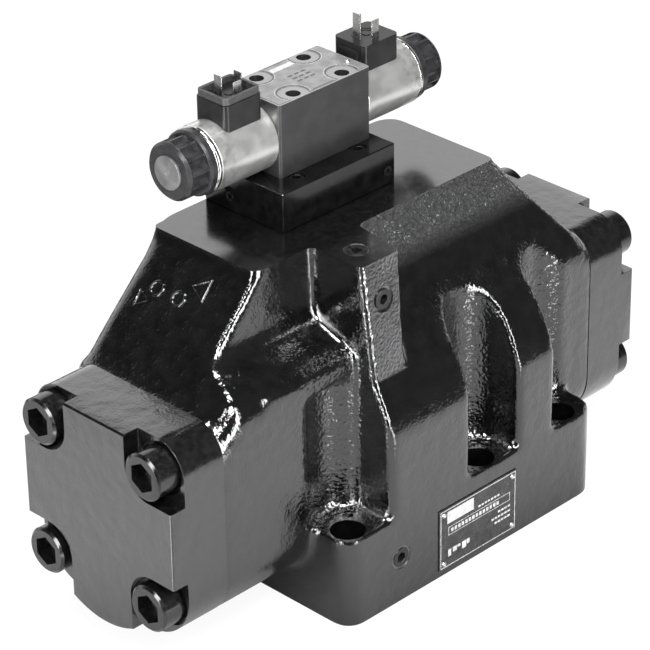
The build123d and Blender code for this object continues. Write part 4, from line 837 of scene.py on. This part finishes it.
def add_arc(bm, centre, radius, width, start, end, low, high, steps=20):
    """A flat curved bar lying on a top face, between two angles in degrees."""
    rows = []
    for i in range(steps + 1):
        angle = math.radians(start + (end - start) * i / steps)
        ray = Vector((math.cos(angle), math.sin(angle), 0))
        row = []
        for r, z in ((radius, low), (radius + width, low), (radius + width, high), (radius, high)):
            row.append(bm.verts.new((Vector((*centre, z)) + ray * r) * MM))
        rows.append(row)
    for a, b in zip(rows, rows[1:]):
        for j in range(4):
            k = (j + 1) % 4
            bm.faces.new((a[j], b[j], b[k], a[k]))
    bm.faces.new(rows[0])
    bm.faces.new(rows[-1])


def inside_label(x, y):
    return abs(x) < LABEL_HALF[0] and abs(y) < LABEL_HALF[1]


def arc_on_label(bm, hole, radius, width, low, high):
    """The stretch of a ring round one screw that lies on the label."""
    step = 6
    angles = []
    for a in range(0, 360, step):
        r = radius + width / 2
        x = hole[0] + r * math.cos(math.radians(a))
        y = hole[1] + r * math.sin(math.radians(a))
        if inside_label(x, y):
            angles.append(a)
    for a in angles:
        centre = (PILOT_MID[0] + hole[0], PILOT_MID[1] + hole[1])
        add_arc(bm, centre, radius, width, a - step / 2, a + step / 2, low, high, 1)


def make_label_print(skin):
    """Painted shadow in dark arcs and a painted highlight in light arcs round the screw scallops of the
    pilot valve's label, dark border lines along its long edges, and plain bars.
    """
    dark, print_and_highlight = bmesh.new(), bmesh.new()
    low, high = LABEL_TOP - 0.02, LABEL_TOP + INK
    for hole in SCALLOPS:
        # Dark arcs: painted shadow of the label's edge round each scallop; light arcs a little further out:
        # a painted highlight.
        arc_on_label(dark, hole, SCALLOP_R + 0.2, 0.7, low, high)
        arc_on_label(print_and_highlight, hole, SCALLOP_R + 1.4, 0.25, low, high)
    x, y = PILOT_MID
    for y0, y1 in ((y - 21.0, y - 20.4), (y + 20.4, y + 21.0)):
        add_block(dark, (x - 9, y0, low), (x + 9, y1, high))
    add_block(print_and_highlight, (x - 9.8, y + 12.5, low), (x + 9.8, y + 17, high))
    for i in range(3):
        for j in range(3):
            left, near = x - 7 + i * 5.4, y - 7 + j * 4.2
            add_block(dark, (left, near, low), (left + 3.6, near + 1.4, high))
    body = nodes["pilot_label"]["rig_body"]
    for name, bm, finish in (
            ("label_print_and_shadow", dark, "dark_print_and_shade"), ("label_print_and_highlight", print_and_highlight, "white_print_and_highlight")):
        bmesh.ops.recalc_face_normals(bm, faces=bm.faces)
        finish_piece(from_bmesh(name, bm), skin[finish], "label_grey", body)


# Rivets: low domes with a sunk middle

NAMEPLATE_RIVETS = ((-26.35, 8.55), (36.15, 8.55), (-26.35, 44.05), (36.15, 44.05))
LABEL_RIVETS = ((13.95, 24.5), (-52.05, 41.5))
RIVET_PROFILE = ((0.0, 0.45), (0.5, 0.5), (0.75, 0.95), (1.15, 1.0), (1.55, 0.8), (1.8, 0.35), (1.8, -0.02))


def add_rivet(bm, at, matrix):
    rings = []
    steps = 24
    for radius, height in RIVET_PROFILE[1:]:
        ring = []
        for i in range(steps):
            angle = 2 * math.pi * i / steps
            local = Vector((radius * math.cos(angle), radius * math.sin(angle), height)) * MM
            ring.append(bm.verts.new(Vector(at) * MM + matrix @ local))
        rings.append(ring)
    middle = bm.verts.new(Vector(at) * MM + matrix @ (Vector((0, 0, RIVET_PROFILE[0][1])) * MM))
    for i in range(steps):
        j = (i + 1) % steps
        bm.faces.new((middle, rings[0][i], rings[0][j]))
        for a, b in zip(rings, rings[1:]):
            bm.faces.new((a[i], b[i], b[j], a[j]))
    bm.faces.new(rings[-1])


def make_rivets(skin):
    front, top = bmesh.new(), bmesh.new()
    facing_front = Matrix.Rotation(math.pi / 2, 3, "X")
    for x, z in NAMEPLATE_RIVETS:
        add_rivet(front, (x, PLATE_Y, z), facing_front)
    for x, y in LABEL_RIVETS:
        add_rivet(top, (x, y, LABEL_TOP), Matrix.Identity(3))
    for name, bm, node in (
            ("plate_rivets", front, "nameplate_rivets"), ("label_rivets", top, "pilot_label_rivets")):
        bmesh.ops.recalc_face_normals(bm, faces=bm.faces)
        piece = from_bmesh(name, bm)
        smooth(piece, 50)
        finish_piece(piece, skin["rivet_metal"], "rivet_metal", nodes[node]["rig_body"], node)


# Small things on the connectors

CONNECTOR_A, CONNECTOR_B = (-77.2, 33.0), (39.1, 33.0)
CONNECTOR_TOP = 305.8


def make_connector_details(skin):
    plastic, metal, dark = bmesh.new(), bmesh.new(), bmesh.new()
    ax, ay = CONNECTOR_A
    bx, by = CONNECTOR_B
    foot, top = CONNECTOR_TOP - 0.05, CONNECTOR_TOP
    add_rod(metal, (ax - 3.5, ay - 6.5, 0), 0.9, foot, top + 0.7, segments=20, far_radius=0.6)
    # A dark strip on connector A's top: painted shade standing in for an open slot.
    add_block(dark, (ax - 9.5, ay - 3.4, foot), (ax - 7.9, ay + 3.4, top + 0.06))
    add_rod(plastic, (ax, ay, 0), 2.6, foot, top + 0.5, segments=32, far_radius=2.4)
    for radius in (5.6, 8.4):
        add_arc(plastic, (bx, by), radius, 0.8, 15, 165, foot, top + 0.3)
    add_rod(plastic, (bx, by, 0), 2.6, foot, top + 0.5, segments=32, far_radius=2.4)
    # The same painted slot shade on connector B's top.
    add_block(dark, (bx + 7.2, by - 3.2, foot), (bx + 8.8, by + 3.2, top + 0.06))
    body = nodes["connector_base_a"]["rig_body"]
    for name, bm, finish, slot in (
            ("connector_rims", plastic, "connector_plastic", "connector_plastic"),
            ("connector_pins", metal, "blade_tin", "blade_tin"),
            ("connector_slot_shade", dark, "dark_print_and_shade", "connector_plastic")):
        bmesh.ops.recalc_face_normals(bm, faces=bm.faces)
        piece = from_bmesh(name, bm)
        smooth(piece, 30)
        finish_piece(piece, skin[finish], slot, body)


# Studio: white paper below and behind, dark above and in front, lamps beside the camera and overhead

REFLECTED_WHITE = 1.15
DARK = 0.05
DARK_RIGHT = 0.05
FAR_PAPER = 0.12
PAPER_FULL, PAPER_END = 0.42, 0.85
SHADE_REACH = 0.11
FLOOR_R = 4.0
FLOOR_DROP = 0.0004
FLOOR_COLOUR = (0.93, 0.93, 0.93)
CAMERA_SHARE = 0.9
GLARE = 5.0
GLARE_TURNS = (-171, -99)
GLARE_NEAR, GLARE_FULL = 0.31, 0.36
GLARE_SPAN = (0.993, 0.998)
BACK = (0.67, 0.74, 0.0)
BACK_SPAN = (0.25, 0.55)
DOWN = (0, 0, -1)
DOWN_SPAN = (-0.66, -0.53)
RIGHT_FRONT = (0.62, -0.76, 0.2)
RIGHT_SPAN = (0.4, 0.95)
CAMERA_SIDE = math.radians(-135)
LAMP_SWING = math.radians(36)
LAMP_FAR = 0.75
LAMP_HEIGHT = 0.42
LAMP_SIZE = (0.22, 0.80)
LAMP_POWER = 8.0
MIDDLE = (-0.02, 0, 0.14)


def direction_share(tree, vector, axis, low, high):
    """How far a direction turns towards an axis, between two cosines."""
    dot = tree.nodes.new("ShaderNodeVectorMath")
    dot.operation = "DOT_PRODUCT"
    dot.inputs[1].default_value = axis
    tree.links.new(vector, dot.inputs[0])
    return spread(tree, dot.outputs["Value"], low, high, 0, 1)


def make_world():
    """White to the camera; in reflections white only low behind the valve, and dark elsewhere."""
    world = bpy.data.worlds.new("studio")
    bpy.context.scene.world = world
    world.use_nodes = True
    tree = world.node_tree
    tree.nodes.clear()
    out = tree.nodes.new("ShaderNodeOutputWorld")
    coords = tree.nodes.new("ShaderNodeTexCoord").outputs["Generated"]
    behind = direction_share(tree, coords, BACK, *BACK_SPAN)
    low = direction_share(tree, coords, DOWN, *DOWN_SPAN)
    white = calculate(tree, "MULTIPLY", calculate(tree, "MULTIPLY", behind, low), REFLECTED_WHITE)
    around = tree.nodes.new("ShaderNodeBackground")
    right = direction_share(tree, coords, RIGHT_FRONT, *RIGHT_SPAN)
    dark = calculate(tree, "ADD", calculate(tree, "MULTIPLY", right, DARK_RIGHT), DARK)
    tree.links.new(calculate(tree, "ADD", white, dark), around.inputs["Strength"])
    seen = tree.nodes.new("ShaderNodeBackground")
    for shown in (around, seen):
        shown.inputs["Color"].default_value = (1, 1, 1, 1)
    rays = tree.nodes.new("ShaderNodeLightPath")
    mix = tree.nodes.new("ShaderNodeMixShader")
    tree.links.new(rays.outputs["Is Camera Ray"], mix.inputs["Fac"])
    tree.links.new(around.outputs["Background"], mix.inputs[1])
    tree.links.new(seen.outputs["Background"], mix.inputs[2])
    tree.links.new(mix.outputs["Shader"], out.inputs["Surface"])


def glare_share(tree, away):
    """Two tracks on the paper, from near the valve out under the lamps beside the camera."""
    unit = tree.nodes.new("ShaderNodeVectorMath")
    unit.operation = "NORMALIZE"
    tree.links.new(position(tree), unit.inputs[0])
    shares = []
    for turn in GLARE_TURNS:
        ray = (math.cos(math.radians(turn)), math.sin(math.radians(turn)), 0)
        shares.append(direction_share(tree, unit.outputs["Vector"], ray, *GLARE_SPAN))
    both = calculate(tree, "ADD", *shares)
    return calculate(tree, "MULTIPLY", both, spread(tree, away, GLARE_NEAR, GLARE_FULL, 0, 1))


def make_floor():
    """The paper: to the camera it is white with a trace of shadow. Reflections see it white only as far
    as it reaches, with two bright tracks. For every other ray it is plain white paper."""
    bm = bmesh.new()
    bmesh.ops.create_circle(bm, cap_ends=True, segments=96, radius=FLOOR_R)
    floor = from_bmesh("floor", bm)
    floor.location.z = -FLOOR_DROP
    made = bpy.data.materials.new("floor")
    made.use_nodes = True
    tree = made.node_tree
    shader = tree.nodes["Principled BSDF"]
    shader.inputs["Base Color"].default_value = (*FLOOR_COLOUR, 1)
    shader.inputs["Roughness"].default_value = 0.7
    shader.inputs["Specular IOR Level"].default_value = 0.1
    far = tree.nodes.new("ShaderNodeVectorMath")
    far.operation = "LENGTH"
    tree.links.new(position(tree), far.inputs[0])
    paper = spread(tree, far.outputs["Value"], PAPER_FULL, PAPER_END, REFLECTED_WHITE, FAR_PAPER)
    shade = tree.nodes.new("ShaderNodeAmbientOcclusion")
    shade.inputs["Distance"].default_value = SHADE_REACH
    shade.samples = 8
    glare = calculate(tree, "MULTIPLY", glare_share(tree, far.outputs["Value"]), GLARE)
    paper = calculate(tree, "ADD", calculate(tree, "MULTIPLY", paper, shade.outputs["AO"]), glare)
    rays = tree.nodes.new("ShaderNodeLightPath")
    glossy = rays.outputs["Is Glossy Ray"]
    camera = rays.outputs["Is Camera Ray"]
    glow = tree.nodes.new("ShaderNodeEmission")
    glow.inputs["Color"].default_value = (1, 1, 1, 1)
    mirrored = calculate(tree, "MULTIPLY", glossy, paper)
    tree.links.new(calculate(tree, "ADD", mirrored, camera), glow.inputs["Strength"])
    mix = tree.nodes.new("ShaderNodeMixShader")
    either = calculate(tree, "MAXIMUM", glossy, calculate(tree, "MULTIPLY", camera, CAMERA_SHARE))
    tree.links.new(either, mix.inputs["Fac"])
    tree.links.new(shader.outputs["BSDF"], mix.inputs[1])
    tree.links.new(glow.outputs["Emission"], mix.inputs[2])
    tree.links.new(mix.outputs["Shader"], tree.nodes["Material Output"].inputs["Surface"])
    floor.data.materials.append(made)


def soft_box(name, at, target, size, power):
    data = bpy.data.lights.new(name, "AREA")
    data.shape = "RECTANGLE"
    data.size, data.size_y = size
    data.energy = power
    lamp = bpy.data.objects.new(name, data)
    bpy.context.scene.collection.objects.link(lamp)
    lamp.location = at
    lamp.rotation_mode = "QUATERNION"
    lamp.rotation_quaternion = (Vector(target) - Vector(at)).to_track_quat("-Z", "Y")
    lamp.visible_camera = False


def make_lights():
    """Two tall lamps beside the camera, one above it and one overhead."""
    for name, swing in (("left_bank", -LAMP_SWING), ("right_bank", LAMP_SWING)):
        angle = CAMERA_SIDE + swing
        at = (LAMP_FAR * math.cos(angle), LAMP_FAR * math.sin(angle), LAMP_HEIGHT)
        soft_box(name, at, (0, 0, LAMP_HEIGHT), LAMP_SIZE, LAMP_POWER)
    soft_box("high", (-0.75, -0.95, 1.5), MIDDLE, (0.55, 0.55), 45)
    soft_box("top", (0.0, 0.1, 1.9), MIDDLE, (0.7, 0.4), 40)


bpy.context.scene.view_settings.view_transform = "Standard"
make_camera()
make_world()
make_floor()
make_lights()
skins = make_materials()
finish_nodes(skins)
make_casting(skins)
make_nameplate_print(skins)
make_label_print(skins)
make_rivets(skins)
make_connector_details(skins)
